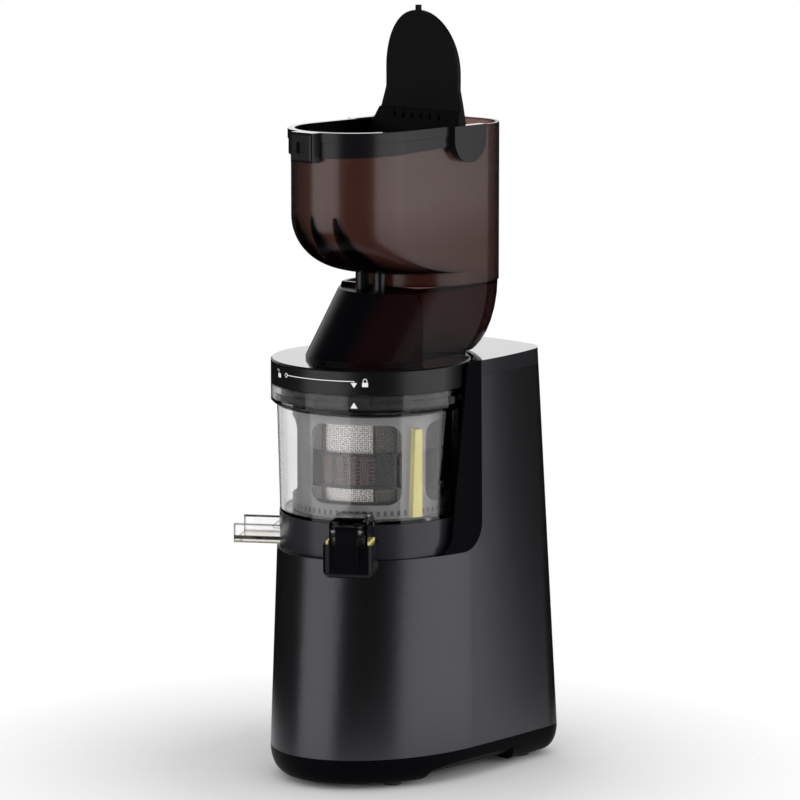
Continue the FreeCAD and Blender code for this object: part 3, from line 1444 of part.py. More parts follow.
def hopper_outline(level, inset=0.0):
    """Plan of the hopper: elliptical nose, straight sides, back with round corners."""
    half = HOPPER_HALF - inset
    rear = HOPPER_REAR_Y - inset
    r = HOPPER_ROUND - inset
    turn = r * math.sqrt(0.5)

    def at(x, y):
        return point(x, y, level)

    edges = [
        half_ellipse(HOPPER_NOSE_Y, half, HOPPER_NOSE - inset, level),
        Part.makeLine(at(half, HOPPER_NOSE_Y), at(half, rear - r)),
        Part.Arc(at(half, rear - r), at(half - r + turn, rear - r + turn), at(half - r, rear)).toShape(),
        Part.makeLine(at(half - r, rear), at(-half + r, rear)),
        Part.Arc(at(-half + r, rear), at(-half + r - turn, rear - r + turn), at(-half, rear - r)).toShape(),
        Part.makeLine(at(-half, rear - r), at(-half, HOPPER_NOSE_Y)),
    ]
    return Part.Wire(edges)


def nose_outline(level, inset, share):
    """Front part of the plan where the floor has come back by a share of its whole depth."""
    half = HOPPER_HALF - inset
    nose = mix(HOPPER_NOSE, COLLAR_NOSE, share) - inset
    tip = mix(HOPPER_NOSE_Y - HOPPER_NOSE, FLOOR_END_Y, share) + inset
    back = FLOOR_END_Y + COLLAR_NOSE + BOSS_RADIUS
    corners = [point(half, tip + nose, level), point(half, back, level)]
    corners += [point(-half, back, level), point(-half, tip + nose, level)]
    edges = [half_ellipse(tip + nose, half, nose, level)]
    for start, end in zip(corners, corners[1:]):
        edges.append(Part.makeLine(start, end))
    return Part.Wire(edges)


def hopper_prism(bottom, top, inset=0.0):
    return Part.Face(hopper_outline(bottom, inset)).extrude(point(0, 0, top - bottom))


def hopper_solid(top, inset=0.0):
    """Hopper filled to the top: walls, collar and a scooped floor, a quarter ellipse in side view."""
    brow = NECK_TOP + FLOOR_LIFT + FLOOR_RISE
    low = NECK_TOP + FLOOR_LIFT + inset
    sections = []
    for step in range(FLOOR_STEPS + 1):
        turn = math.pi / 2 * step / FLOOR_STEPS
        level = mix(brow, low, math.sin(turn))
        sections.append(nose_outline(level, inset, 1 - math.cos(turn)))
    scoop = Part.makeLoft(sections, True, False)
    collar = Part.Face(nose_outline(NECK_TOP, inset, 1.0)).extrude(point(0, 0, low - NECK_TOP))
    back_y = FLOOR_END_Y + COLLAR_NOSE + BOSS_RADIUS
    behind = box((-FAR, FAR), (back_y, FAR), (0, 2 * FAR))
    back = hopper_prism(NECK_TOP, brow, inset).common(behind)
    return joined([hopper_prism(brow, top, inset), scoop, collar, back])


def fin_profile():
    """Crescent between the scooped floor and a shallower curve above it."""
    brow = NECK_TOP + FLOOR_LIFT + FLOOR_RISE
    front = HOPPER_NOSE_Y - HOPPER_NOSE + SMOKE_WALL / 2
    reach = (FLOOR_END_Y - front - FIN_DEPTH) * math.sqrt(0.5)
    fall = (FLOOR_RISE - SMOKE_WALL - FIN_DEPTH) * math.sqrt(0.5)
    end = (FIN_END_Y, brow - FLOOR_RISE + SMOKE_WALL + FIN_TOE)
    return [
        (front, brow),
        [(FLOOR_END_Y - reach, brow - fall), end],
        (FIN_END_Y, NECK_TOP),
        (front, NECK_TOP),
    ]


def hopper():
    outside = hopper_solid(RIM)
    shell = outside.cut(hopper_solid(RIM, SMOKE_WALL))
    swept = along_x(FLAP_SWEEP, -FAR, FAR, HINGE_Y, HINGE_Z)
    fins = []
    for place in (-1, 0, 1):
        x = place * FIN_PITCH
        fin = side_prism(fin_profile(), x - FIN_HALF, x + FIN_HALF)
        fins.append(fin.common(outside).cut(swept))
    shell = joined([shell] + fins)
    return shell.cut(along_x(PIN_RADIUS, -FAR, FAR, HINGE_Y, HINGE_Z))


def ear_outline(radius):
    middle = (HINGE_Y, HINGE_Z + EAR_RISE)
    return [
        (HINGE_Y + radius, RIM + TRIM_TOP),
        (HINGE_Y - radius, RIM + TRIM_TOP),
        (HINGE_Y - radius, middle[1]),
        arc(middle, radius, 180, 360),
    ]


def hinge_ears():
    ears = []
    for side in (-1, 1):
        limits = sorted((side * HOPPER_HALF, side * (HOPPER_HALF + EAR_REACH)))
        ear = side_prism(ear_outline(EAR_RADIUS), *limits)
        pin_end = HOPPER_HALF + EAR_REACH / 2
        ears.append(ear.cut(along_x(PIN_RADIUS, -pin_end, pin_end, HINGE_Y, HINGE_Z)))
    return ears


def hinge_pins():
    pins = []
    for side in (-1, 1):
        limits = sorted((side * (FLAP_BASE_HALF - PIN_INSIDE), side * (HOPPER_HALF + EAR_REACH / 2)))
        pins.append(along_x(PIN_RADIUS, *limits, HINGE_Y, HINGE_Z))
    return pins


def rim_trim():
    """Black band round the front of the rim, with a bead along its top, from ear to ear."""
    bottom = RIM - TRIM_HEIGHT
    end_y = HINGE_Y - EAR_RADIUS
    band = hopper_prism(bottom, RIM + TRIM_TOP, -TRIM_WALL)
    bead = hopper_prism(RIM - TRIM_BEAD_HEIGHT, RIM + TRIM_TOP, -TRIM_WALL - TRIM_BEAD)
    band = joined([band, bead]).cut(hopper_prism(bottom, RIM, -SEAT_GAP))
    band = band.cut(hopper_prism(bottom, RIM + 2 * TRIM_TOP, SMOKE_WALL))
    behind = box((-FAR, FAR), (end_y, FAR), (0, 2 * FAR))
    nose_y = HOPPER_NOSE_Y - HOPPER_NOSE
    under = bottom - OVER
    slope = [(nose_y, bottom), (end_y, RIM - TRIM_EAR_HEIGHT), (end_y, under), (nose_y, under)]
    return band.cut(behind).cut(side_prism(slope, -FAR, FAR))


def latch_block():
    nose_y = HOPPER_NOSE_Y - HOPPER_NOSE - TRIM_WALL
    top = RIM + TRIM_TOP
    depth = (nose_y - LATCH_REACH, nose_y + LATCH_REACH)
    block = box((-LATCH_HALF, LATCH_HALF), depth, (top - LATCH_HEIGHT, top))
    front = [edge for edge in block.Edges if edge.BoundBox.YMax < nose_y]
    block = block.makeFillet(LATCH_ROUND, front)
    block = block.cut(hopper_prism(top - LATCH_HEIGHT, top, -TRIM_WALL - TRIM_BEAD - SEAT_GAP))
    half = LATCH_WINDOW / 2
    middle = top - LATCH_HEIGHT / 2
    depth = (nose_y - FAR, nose_y - LATCH_REACH + LATCH_WINDOW_DEPTH)
    window = box((-half, half), depth, (middle - half, middle + half))
    return block.cut(window)


def support_posts():
    posts = []
    foot = NECK_TOP - COVER_DROP
    for side in (-1, 1):
        post = cylinder(SUPPORT_RADIUS, foot, NECK_TOP + FLOOR_RISE, side * SUPPORT_X, SUPPORT_Y)
        posts.append(post.cut(hopper_solid(RIM)))
    return posts


def feed_flap():
    """Paddle with a flared foot and a round top, bowed to the back, on a barrel and wedge at its hinge."""
    half = FLAP_HALF
    base = FLAP_BASE_HALF
    foot = HINGE_Z - FLAP_BASE_RADIUS
    tip = HINGE_Z + FLAP_LENGTH
    shoulder = tip - FLAP_CROWN
    center = point(0, 0, shoulder)
    crown = ellipse_over(center, point(-half, 0, shoulder), point(0, 0, tip))
    corners = [
        point(-half, 0, shoulder),
        point(-half, 0, HINGE_Z + FLAP_FLARE_RISE),
        point(-base, 0, HINGE_Z + FLAP_BASE_RISE / 2),
        point(-base, 0, foot),
        point(base, 0, foot),
        point(base, 0, HINGE_Z + FLAP_BASE_RISE / 2),
        point(half, 0, HINGE_Z + FLAP_FLARE_RISE),
        point(half, 0, shoulder),
    ]
    edges = [crown]
    for start, end in zip(corners, corners[1:]):
        edges.append(Part.makeLine(start, end))
    front_view = Part.Face(Part.Wire(edges)).extrude(point(0, FAR, 0))
    middle_z = HINGE_Z + FLAP_LENGTH / 2
    blade_steps = [
        (HINGE_Y, foot),
        [(HINGE_Y + FLAP_BOW, middle_z), (HINGE_Y, tip)],
        (HINGE_Y + FLAP_THICKNESS, tip),
        [(HINGE_Y + FLAP_BOW + FLAP_THICKNESS, middle_z), (HINGE_Y + FLAP_THICKNESS, foot)],
    ]
    blade = side_prism(blade_steps, -base, base).common(front_view)
    barrel = along_x(FLAP_BASE_RADIUS, -base, base, HINGE_Y, HINGE_Z)
    wedge_top = HINGE_Z + FLAP_BASE_RISE
    wedge_steps = [
        (HINGE_Y - FLAP_BASE_RADIUS, HINGE_Z),
        (HINGE_Y + FLAP_BASE_RADIUS, HINGE_Z),
        (HINGE_Y + FLAP_BOW / 2 + FLAP_THICKNESS, wedge_top),
        (HINGE_Y + FLAP_BOW / 2, wedge_top),
    ]
    wedge = side_prism(wedge_steps, -base, base).common(front_view)
    width, rise = FLAP_NUB
    nub = box((-width, width), (HINGE_Y, HINGE_Y + FLAP_THICKNESS), (tip - rise, tip + rise))
    flap = joined([blade, barrel, wedge, nub])
    for rib in range(RIB_COUNT):
        x = (rib - (RIB_COUNT - 1) / 2) * RIB_PITCH
        depth = (HINGE_Y - FLAP_BASE_RADIUS, HINGE_Y + RIB_DEPTH)
        slot = box((x - RIB_HALF, x + RIB_HALF), depth, (HINGE_Z + RIB_LIFT, HINGE_Z + RIB_LIFT + RIB_HEIGHT))
        flap = flap.cut(slot)
    for pin in (1, -1):
        limits = sorted((pin * (FLAP_BASE_HALF - PIN_INSIDE - SLIP), pin * FAR))
        flap = flap.cut(along_x(PIN_RADIUS + SLIP, *limits, HINGE_Y, HINGE_Z))
    return flap


NODES = [
    outer_housing, bowl_bay, tower_cap, base_pan, rubber_feet, base_screws,
    motor_can, stator_magnets, motor_rotor, motor_pinion, cooling_fan,
    gearbox_lower, gearbox_cover, idler_pin, idler_gear, output_gear, drive_shaft,
    shaft_bearings, shaft_oil_seal, control_board, capacitor, reed_sensor,
    switch_bezel, switch_rocker, cord_bush,
    juicing_bowl, bowl_skirt, bowl_seal, pulp_seal, pinion_pin, brush_pinion,
    strainer_frame, strainer_mesh, brush_frame, wiper_blades, auger_screw, auger_insert,
    spout_cap, cap_seal, cap_pin,
    lid, lid_magnet, auger_bush, feed_neck, neck_cover, support_posts,
    hopper, rim_trim, latch_block, hinge_ears, hinge_pins, feed_flap,
]


def main():
    os.makedirs("parts", exist_ok=True)
    for node in NODES:
        made = node()
        shape = Part.makeCompound(made) if isinstance(made, list) else made
        shape.exportStep("parts/" + node.__name__ + ".step")
        size = shape.BoundBox
        print(node.__name__, len(shape.Solids), shape.isValid(), round(shape.Volume), size)


main()
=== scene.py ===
"""Looks of the slow juicer: materials, printed marks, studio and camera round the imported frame."""
import math

import bmesh
import bpy
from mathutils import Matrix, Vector


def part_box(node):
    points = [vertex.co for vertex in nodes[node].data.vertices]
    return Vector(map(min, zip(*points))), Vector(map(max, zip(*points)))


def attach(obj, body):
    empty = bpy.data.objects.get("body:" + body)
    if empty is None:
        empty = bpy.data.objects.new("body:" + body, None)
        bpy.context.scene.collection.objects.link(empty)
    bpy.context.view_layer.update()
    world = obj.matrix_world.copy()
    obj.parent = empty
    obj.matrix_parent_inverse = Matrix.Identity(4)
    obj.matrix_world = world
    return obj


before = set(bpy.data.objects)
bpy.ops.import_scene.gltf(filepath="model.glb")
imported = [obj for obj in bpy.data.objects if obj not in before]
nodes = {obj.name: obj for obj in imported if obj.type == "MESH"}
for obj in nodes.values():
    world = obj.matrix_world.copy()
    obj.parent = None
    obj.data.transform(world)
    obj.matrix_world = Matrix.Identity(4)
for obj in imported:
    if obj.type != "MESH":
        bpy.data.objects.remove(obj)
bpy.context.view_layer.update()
scene = bpy.context.scene

MM = 0.001
WHITE = (1.0, 1.0, 1.0)
EVEN = (1.0, 1.0, 1.0)
STREAKED = (1.0, 1.0, 30.0)

# Places that the materials follow, in metres
FIN_PITCH = 0.017
FIN_SIDES_X = (-0.001, 0.0098)
FIN_ROW_X = (-0.021, 0.0295)
FIN_FRONT_Y = (-0.012, -0.002)
FIN_FOOT_Z, FIN_ROOT_Z, FIN_TIP_Z = 0.342, 0.360, 0.386
HOPPER_GLOSS_Z = (0.362, 0.395)
NECK_SHADE_Z = (0.3315, 0.336)
COVER_SIDE_X = (0.012, 0.024)
FLANGE_Z = (0.2575, 0.2692)
FLANGE_SHADE_Z = (0.2545, 0.2575)
STRAINER_BAND_Z = (0.206, 0.224)
BAND_LINES_Z = ((0.2030, 0.2052), (0.2248, 0.2270))
CAGE_RING_Z = (0.1855, 0.1885)
TROUGH_RAIL_Z = (0.1698, 0.173)
TROUGH_FOOT_Z = (0.1606, 0.1626)
TROUGH_FLOOR_Z = (0.1595, 0.1605)
TROUGH_START_X = (-0.064, -0.060)
TROUGH_TURN = math.radians(-148.0)
TROUGH_ALONG = (math.cos(TROUGH_TURN), math.sin(TROUGH_TURN), 0.0)
TROUGH_ACROSS = (-math.sin(TROUGH_TURN), math.cos(TROUGH_TURN), 0.0)
TROUGH_START = (0.058, 0.059)
TROUGH_SIDE = (0.0145, 0.0155)


# Node helpers

class Nodes:
    """A node tree, with short ways to add to it."""

    def __init__(self, tree):
        self.tree = tree

    def add(self, kind, **settings):
        """A new node. Each setting is one of its own properties, or else the value of an input."""
        node = self.tree.nodes.new(kind)
        for key, value in settings.items():
            if hasattr(node, key):
                setattr(node, key, value)
            else:
                node.inputs[key.replace("_", " ")].default_value = value
        return node

    def link(self, source, target):
        self.tree.links.new(source, target)

    def math(self, operation, first, second=None):
        node = self.add("ShaderNodeMath", operation=operation)
        for socket, value in zip(node.inputs, (first, second)):
            if value is None:
                continue
            if isinstance(value, (int, float)):
                socket.default_value = value
            else:
                self.link(value, socket)
        return node.outputs[0]

    def times(self, first, second):
        return self.math("MULTIPLY", first, second)

    def spread(self, value, low, high, start=0.3, end=0.7, smooth=False):
        """A value that goes from low to high as the given one goes from start to end."""
        node = self.add("ShaderNodeMapRange", From_Min=start, From_Max=end, To_Min=low, To_Max=high)
        if smooth:
            node.interpolation_type = "SMOOTHSTEP"
        self.link(value, node.inputs["Value"])
        return node.outputs["Result"]

    def split(self, vector):
        parts = self.add("ShaderNodeSeparateXYZ")
        self.link(vector, parts.inputs[0])
        return parts.outputs["X"], parts.outputs["Y"], parts.outputs["Z"]

    def dot(self, first, second):
        node = self.add("ShaderNodeVectorMath", operation="DOT_PRODUCT")
        self.link(first, node.inputs[0])
        if isinstance(second, tuple):
            node.inputs[1].default_value = second
        else:
            self.link(second, node.inputs[1])
        return node.outputs["Value"]


class Shader(Nodes):
    """A material with one principled shader and a few short ways to add texture to it."""

    def __init__(self, name):
        self.material = bpy.data.materials.new(name)
        self.material.use_nodes = True
        super().__init__(self.material.node_tree)
        self.main = self.tree.nodes["Principled BSDF"]
        self.place = self.add("ShaderNodeTexCoord").outputs["Object"]

    def feed(self, name, source):
        """Links a source to an input of the principled shader."""
        self.link(source, self.main.inputs[name])

    def set(self, **values):
        """Sets inputs of the principled shader to plain values."""
        for key, value in values.items():
            if isinstance(value, tuple):
                value = (*value, 1.0)
            self.main.inputs[key.replace("_", " ")].default_value = value

    def color(self):
        """What the base colour is linked to so far."""
        return self.main.inputs["Base Color"].links[0].from_socket

    def noise(self, scale, detail=3.0, stretch=None):
        node = self.add("ShaderNodeTexNoise", Scale=scale, Detail=detail)
        source = self.place
        if stretch:
            mapping = self.add("ShaderNodeMapping")
            mapping.inputs["Scale"].default_value = stretch
            self.link(source, mapping.inputs["Vector"])
            source = mapping.outputs["Vector"]
        self.link(source, node.inputs["Vector"])
        return node.outputs["Fac"]

    def blend(self, share, first, second):
        """The first colour where the share is 0, and the second where it is 1."""
        node = self.add("ShaderNodeMix", data_type="RGBA")
        self.link(share, node.inputs["Factor"])
        for socket, value in ((node.inputs[6], first), (node.inputs[7], second)):
            if isinstance(value, tuple):
                socket.default_value = (*value, 1.0)
            else:
                self.link(value, socket)
        return node.outputs[2]

    def darken(self, share, factor):
        """Multiplies the base colour by a factor, or by a tint, where the share is 1."""
        tint = factor if isinstance(factor, tuple) else (factor, factor, factor)
        node = self.add("ShaderNodeMix", data_type="RGBA", blend_type="MULTIPLY")
        self.link(share, node.inputs["Factor"])
        self.link(self.color(), node.inputs[6])
        node.inputs[7].default_value = (*tint, 1.0)
        self.feed("Base Color", node.outputs[2])

    def bump(self, height, strength, distance, under=None):
        node = self.add("ShaderNodeBump", Strength=strength, Distance=distance)
        self.link(height, node.inputs["Height"])
        if under is not None:
            self.link(under, node.inputs["Normal"])
        self.feed("Normal", node.outputs["Normal"])

    def rounded(self, radius):
        """Normals of the piece as if its edges were rounded."""
        return self.add("ShaderNodeBevel", samples=4, Radius=radius).outputs["Normal"]

    def geometry(self, name):
        return self.add("ShaderNodeNewGeometry").outputs[name]

    def upward(self):
        """Share that is 1 where the face looks straight up and 0 on the sides."""
        z = self.split(self.geometry("True Normal"))[2]
        return self.spread(z, 0.0, 1.0, start=0.85, end=0.97)

    def edges(self, radius):
        """Share that is 1 along the edges of the piece and 0 away from them."""
        agree = self.dot(self.rounded(radius), self.geometry("Normal"))
        return self.spread(agree, 1.0, 0.0, start=0.93, end=0.998)

    def between(self, value, low, high, soft):
        """Share that is 1 between two values and falls to 0 outside them."""
        rise = self.spread(value, 0.0, 1.0, low - soft, low)
        fall = self.spread(value, 1.0, 0.0, high, high + soft)
        return self.times(rise, fall)

    def axes(self):
        """Place on the object, in metres."""
        return self.split(self.place)

    def toward(self, direction):
        """Distance from the origin along a direction, in metres."""
        return self.dot(self.place, direction)

    def around(self):
        """Angle in turns about the bowl axis, and height in metres."""
        x, y, z = self.axes()
        return self.math("DIVIDE", self.math("ARCTAN2", y, x), 2 * math.pi), z

    def repeat(self, value, count):
        """Place within each of a count of repeats of a value, from -0.5 to 0.5."""
        return self.math("SUBTRACT", self.math("FRACT", self.times(value, count)), 0.5)


# Kinds of material

def tones(color, change):
    """A darker and a lighter copy of a colour."""
    return tuple(c * (1 - change) for c in color), tuple(c * (1 + change) for c in color)


def moulded(name, color, rough, change=0.07, grain=900.0, grain_depth=0.00003,
            grain_strength=0.25, edge=0.0004, uneven=0.08, **values):
    """Moulded plastic or rubber: slow tone drift, uneven gloss, fine grain and softened edges."""
    s = Shader(name)
    s.feed("Base Color", s.blend(s.noise(35.0, detail=6.0), *tones(color, change)))
    if rough is not None:
        gloss = s.noise(160.0, detail=5.0)
        s.feed("Roughness", s.spread(gloss, rough * (1 - uneven), rough * (1 + uneven)))
    under = s.rounded(edge) if edge else None
    s.bump(s.noise(grain, detail=2.0), grain_strength, grain_depth, under)
    s.set(**values)
    return s


def polished(name, color, top_rough, side_rough, **values):
    """Moulded plastic with gloss on the faces that look up and satin on the sides."""
    s = moulded(name, color, None, **values)
    up = s.upward()
    s.feed("Coat Weight", up)
    s.feed("Roughness", s.spread(up, side_rough, top_rough, 0.0, 1.0))
    s.set(Coat_Roughness=top_rough)
    return s


def clear(name, color, rough, rim=0.3, slants=(0.25, 0.47), **values):
    """Clear plastic: a tint that drifts with the mould flow and deepens where it is seen edge on."""
    s = Shader(name)
    drifted = s.blend(s.noise(22.0, detail=2.0), *tones(color, change=0.05))
    slant = s.add("ShaderNodeLayerWeight", Blend=0.35)
    edge_on = s.spread(slant.outputs["Facing"], 0.0, 1.0, *slants)
    s.feed("Base Color", s.blend(edge_on, drifted, tuple(c * rim for c in color)))
    s.feed("Roughness", s.spread(s.noise(45.0, detail=2.0), rough * 0.9, rough * 1.1))
    s.set(**{"Transmission_Weight": 1.0, "IOR": 1.45, **values})
    return s


def metal(name, color, rough, stretch=STREAKED, scale=260.0, change=0.15):
    """Turned or drawn metal: streaks along the cut and uneven gloss."""
    s = Shader(name)
    streak = s.noise(scale, detail=4.0, stretch=stretch)
    s.feed("Base Color", s.blend(streak, *tones(color, change)))
    s.feed("Roughness", s.spread(streak, rough * 0.7, rough * 1.3))
    s.bump(streak, strength=0.12, distance=0.00004, under=s.rounded(0.0003))
    s.set(Metallic=1.0)
    return s


# Materials of single pieces

def hopper_plastic():
    """Smoke hopper: glossy above its round floor, with painted shade along its edges and painted dark
    crescents at its fins that also take out the reflection there.
    """
    s = clear("smoke_clear", (0.20, 0.112, 0.094), 0.235, rim=0.06, Coat_Roughness=0.25)
    x, y, z = s.axes()
    phase = 0.25
    near = s.math("FRACT", s.math("ADD", s.math("DIVIDE", x, FIN_PITCH), phase))
    off = s.times(s.math("SUBTRACT", near, phase), FIN_PITCH)
    taper = s.spread(z, 1.0, 0.22, FIN_ROOT_Z, FIN_TIP_Z)
    blade = s.between(s.math("DIVIDE", off, taper), *FIN_SIDES_X, soft=0.0003)
    front = s.times(s.spread(y, 1.0, 0.0, *FIN_FRONT_Y), s.between(z, FIN_FOOT_Z, FIN_TIP_Z, soft=0.001))
    # Painted shade: dark crescents on the wall where the fins stand behind it, wider than the fins
    fin_shade = s.times(s.times(blade, front), s.between(x, *FIN_ROW_X, soft=0.0005))
    s.darken(fin_shade, 0.05)
    # Painted shade along the hopper's edges
    s.darken(s.edges(0.003), 0.12)
    # Painted shade: the reflection is taken out on the crescents at the fins
    s.feed("Specular Tint", s.blend(fin_shade, WHITE, (0.1, 0.1, 0.12)))
    plain = s.math("SUBTRACT", 1.0, fin_shade)
    s.feed("Coat Weight", s.times(plain, s.spread(z, 0.0, 0.65, *HOPPER_GLOSS_Z)))
    return s


def neck_plastic():
    """Dark smoke neck with a shadow line where it meets the hopper."""
    s = clear("neck_smoke", (0.115, 0.052, 0.045), 0.16, rim=0.03, Specular_Tint=(0.1, 0.1, 0.11))
    s.darken(s.between(s.axes()[2], *NECK_SHADE_Z, soft=0.0008), 0.1)
    return s


def cover_plastic():
    """Black cover, tinted dark brown towards its sides."""
    s = moulded("cover_black", (0.0025, 0.0025, 0.0035), 0.25, grain=500.0, grain_strength=0.08,
                Specular_IOR_Level=0.06)
    side = s.spread(s.math("ABSOLUTE", s.axes()[0]), 0.0, 1.0, *COVER_SIDE_X)
    s.feed("Base Color", s.blend(side, s.color(), (0.0095, 0.0030, 0.0036)))
    return s


def bowl_plastic():
    """Clear bowl: painted shade along its edges, on its flange and in a line under the flange, painted dark
    lines along its trough, and a yellow tint on its trough floor painted in place of a yellowish highlight.
    """
    s = clear("bowl_clear", (0.96, 0.96, 0.97), 0.03, rim=0.1, slants=(0.55, 0.85))
    x, _, z = s.axes()
    # Painted shade on the flange, and a painted shadow line under it
    s.darken(s.between(z, *FLANGE_Z, soft=0.0006), 0.55)
    s.darken(s.between(z, *FLANGE_SHADE_Z, soft=0.0006), 0.16)
    # Painted shade along the bowl's edges
    s.darken(s.edges(0.0025), 0.03)
    # Yellow tint on the trough floor, painted in place of a yellowish highlight
    floor = s.times(s.spread(x, 1.0, 0.0, *TROUGH_START_X), s.spread(z, 1.0, 0.0, *TROUGH_FLOOR_Z))
    s.darken(floor, (1.0, 0.92, 0.68))
    # Painted shade: dark lines along the trough's far rail and near foot
    out = s.spread(s.toward(TROUGH_ALONG), 0.0, 1.0, *TROUGH_START)
    across = s.toward(TROUGH_ACROSS)
    near_side = s.spread(across, 0.0, 1.0, *TROUGH_SIDE)
    far_side = s.spread(s.times(across, -1.0), 0.0, 1.0, *TROUGH_SIDE)
    rail = s.times(far_side, s.between(z, *TROUGH_RAIL_Z, soft=0.0003))
    foot = s.times(near_side, s.between(z, *TROUGH_FOOT_Z, soft=0.0003))
    s.darken(s.times(out, s.math("MAXIMUM", rail, foot)), 0.03)
    return s


def strainer_post_shade(s, turn):
    """Share that is 1 on the three posts of the strainer, where shade is painted."""
    count, first_turn = 3.0, -35.0 / 360.0
    post = s.repeat(s.math("ADD", turn, 0.5 / count - first_turn), count)
    return s.between(post, -0.075, 0.075, soft=0.015)


def slotted_frame():
    """Brown strainer frame: columns of juice slots in its band, a dark line above and below, and painted
    shade on its posts.
    """
    s = clear("strainer_brown", (0.36, 0.25, 0.20), 0.14)
    turn, z = s.around()
    across = s.between(s.repeat(turn, 34.0), -0.13, 0.13, soft=0.04)
    along = s.between(s.repeat(z, 400.0), -0.27, 0.27, soft=0.08)
    s.darken(s.times(s.between(z, *STRAINER_BAND_Z, soft=0.0004), s.times(across, along)), 0.06)
    for line in BAND_LINES_Z:
        s.darken(s.between(z, *line, soft=0.0003), 0.25)
    # Painted shade on the posts
    s.darken(strainer_post_shade(s, turn), 0.13)
    return s


def cage_plastic():
    """Milky brush cage with painted shade of the gear teeth, in dashes on its lower ring."""
    s = clear("brush_milky", (0.66, 0.65, 0.64), 0.34, Transmission_Weight=0.72)
    turn, z = s.around()
    tooth_shade = s.between(s.repeat(turn, 72.0), -0.18, 0.18, soft=0.08)
    # Painted shade: dark dashes where the gear teeth stand behind the lower ring
    s.darken(s.times(tooth_shade, s.between(z, *CAGE_RING_Z, soft=0.0004)), 0.25)
    return s


def strainer_sheet():
    """Etched sheet: steel full of fine holes, with painted shade at the strainer's posts."""
    s = metal("etched_sheet", (0.52, 0.50, 0.47), 0.46, stretch=EVEN, scale=800.0, change=0.45)
    turn, z = s.around()
    girth = 0.27
    sheet = s.add("ShaderNodeCombineXYZ")
    s.link(s.times(turn, girth), sheet.inputs["X"])
    s.link(z, sheet.inputs["Y"])
    cells = s.add("ShaderNodeTexVoronoi", voronoi_dimensions="2D", Scale=720.0, Randomness=0.5)
    s.link(sheet.outputs[0], cells.inputs["Vector"])
    hole = s.spread(cells.outputs["Distance"], 1.0, 0.0, start=0.24, end=0.40)
    s.feed("Base Color", s.blend(hole, s.color(), (0.10, 0.09, 0.08)))
    # Painted shade on the sheet at the posts
    s.darken(strainer_post_shade(s, turn), 0.2)
    return s


LOOKS = [
    (moulded("body_satin", (0.080, 0.079, 0.087), 0.285, change=0.03, grain=1600.0, grain_depth=0.00001,
             grain_strength=0.03, uneven=0.02, Metallic=0.96), ["outer_housing"]),
    (moulded("bay_black", (0.0016, 0.0016, 0.0024), 0.3, grain=500.0, grain_strength=0.08,
             Specular_IOR_Level=0.02), ["bowl_bay"]),
    (moulded("gloss_black", (0.003, 0.003, 0.004), 0.14, grain=350.0, grain_depth=0.00002,
             grain_strength=0.05, Specular_IOR_Level=0.18), ["spout_cap", "switch_rocker"]),
    (polished("tower_top", (0.010, 0.010, 0.013), 0.07, 0.3, grain=350.0, grain_depth=0.00002,
              grain_strength=0.05), ["tower_cap"]),
    (polished("lid_black", (0.004, 0.004, 0.005), 0.06, 0.32, grain=500.0, grain_strength=0.06), ["lid"]),
    (polished("trim_satin", (0.005, 0.005, 0.007), 0.08, 0.26, grain=800.0, grain_strength=0.1),
     ["rim_trim", "latch_block", "hinge_ears", "support_posts"]),
    (moulded("pan_black", (0.0016, 0.0016, 0.0024), 0.4, grain=1300.0, grain_strength=0.15,
             Specular_IOR_Level=0.03), ["base_pan"]),
    (moulded("skirt_grey", (0.016, 0.016, 0.022), 0.3), ["bowl_skirt"]),
    (moulded("inner_black", (0.015, 0.015, 0.016), 0.45, grain=1000.0),
     ["cooling_fan", "reed_sensor", "switch_bezel"]),
    (moulded("flap_black", (0.0025, 0.0025, 0.0033), 0.4, change=0.05, Specular_IOR_Level=0.2),
     ["feed_flap"]),
    (moulded("foot_rubber", (0.014, 0.014, 0.014), 0.7, grain=1500.0, grain_strength=0.5),
     ["rubber_feet", "cord_bush"]),
    (moulded("silicone_black", (0.02, 0.02, 0.021), 0.5, grain=1200.0), ["shaft_oil_seal", "bowl_seal"]),
    (moulded("silicone_yellow", (0.84, 0.76, 0.24), 0.42, change=0.08, grain=800.0, Subsurface_Weight=0.15,
             Subsurface_Scale=0.002), ["pulp_seal", "wiper_blades", "cap_seal"]),
    (moulded("gear_acetal", (0.72, 0.70, 0.64), 0.38, change=0.05, grain=700.0),
     ["idler_gear", "output_gear", "brush_pinion", "auger_bush"]),
    (moulded("solder_mask", (0.02, 0.13, 0.05), 0.35, grain=600.0), ["control_board"]),
    (moulded("film_yellow", (0.62, 0.42, 0.06), 0.3, grain=500.0), ["capacitor"]),
    (moulded("ferrite", (0.05, 0.05, 0.055), 0.55, grain=1200.0), ["stator_magnets", "lid_magnet"]),
    (moulded("auger_grey", (0.045, 0.042, 0.042), 0.3, grain=700.0), ["auger_screw"]),
    (metal("turned_steel", (0.62, 0.62, 0.63), 0.25),
     ["idler_pin", "drive_shaft", "shaft_bearings", "pinion_pin", "auger_insert", "cap_pin", "hinge_pins"]),
    (metal("zinc_plate", (0.55, 0.56, 0.58), 0.35), ["base_screws", "motor_can"]),
    (metal("enamel_copper", (0.55, 0.27, 0.13), 0.4), ["motor_rotor"]),
    (metal("turned_brass", (0.72, 0.53, 0.22), 0.3), ["motor_pinion"]),
    (metal("cast_alloy", (0.58, 0.58, 0.6), 0.45, stretch=EVEN, scale=700.0),
     ["gearbox_lower", "gearbox_cover"]),
    (strainer_sheet(), ["strainer_mesh"]),
    (slotted_frame(), ["strainer_frame"]),
    (cage_plastic(), ["brush_frame"]),
    (bowl_plastic(), ["juicing_bowl"]),
    (hopper_plastic(), ["hopper"]),
    (neck_plastic(), ["feed_neck"]),
    (cover_plastic(), ["neck_cover"]),
]

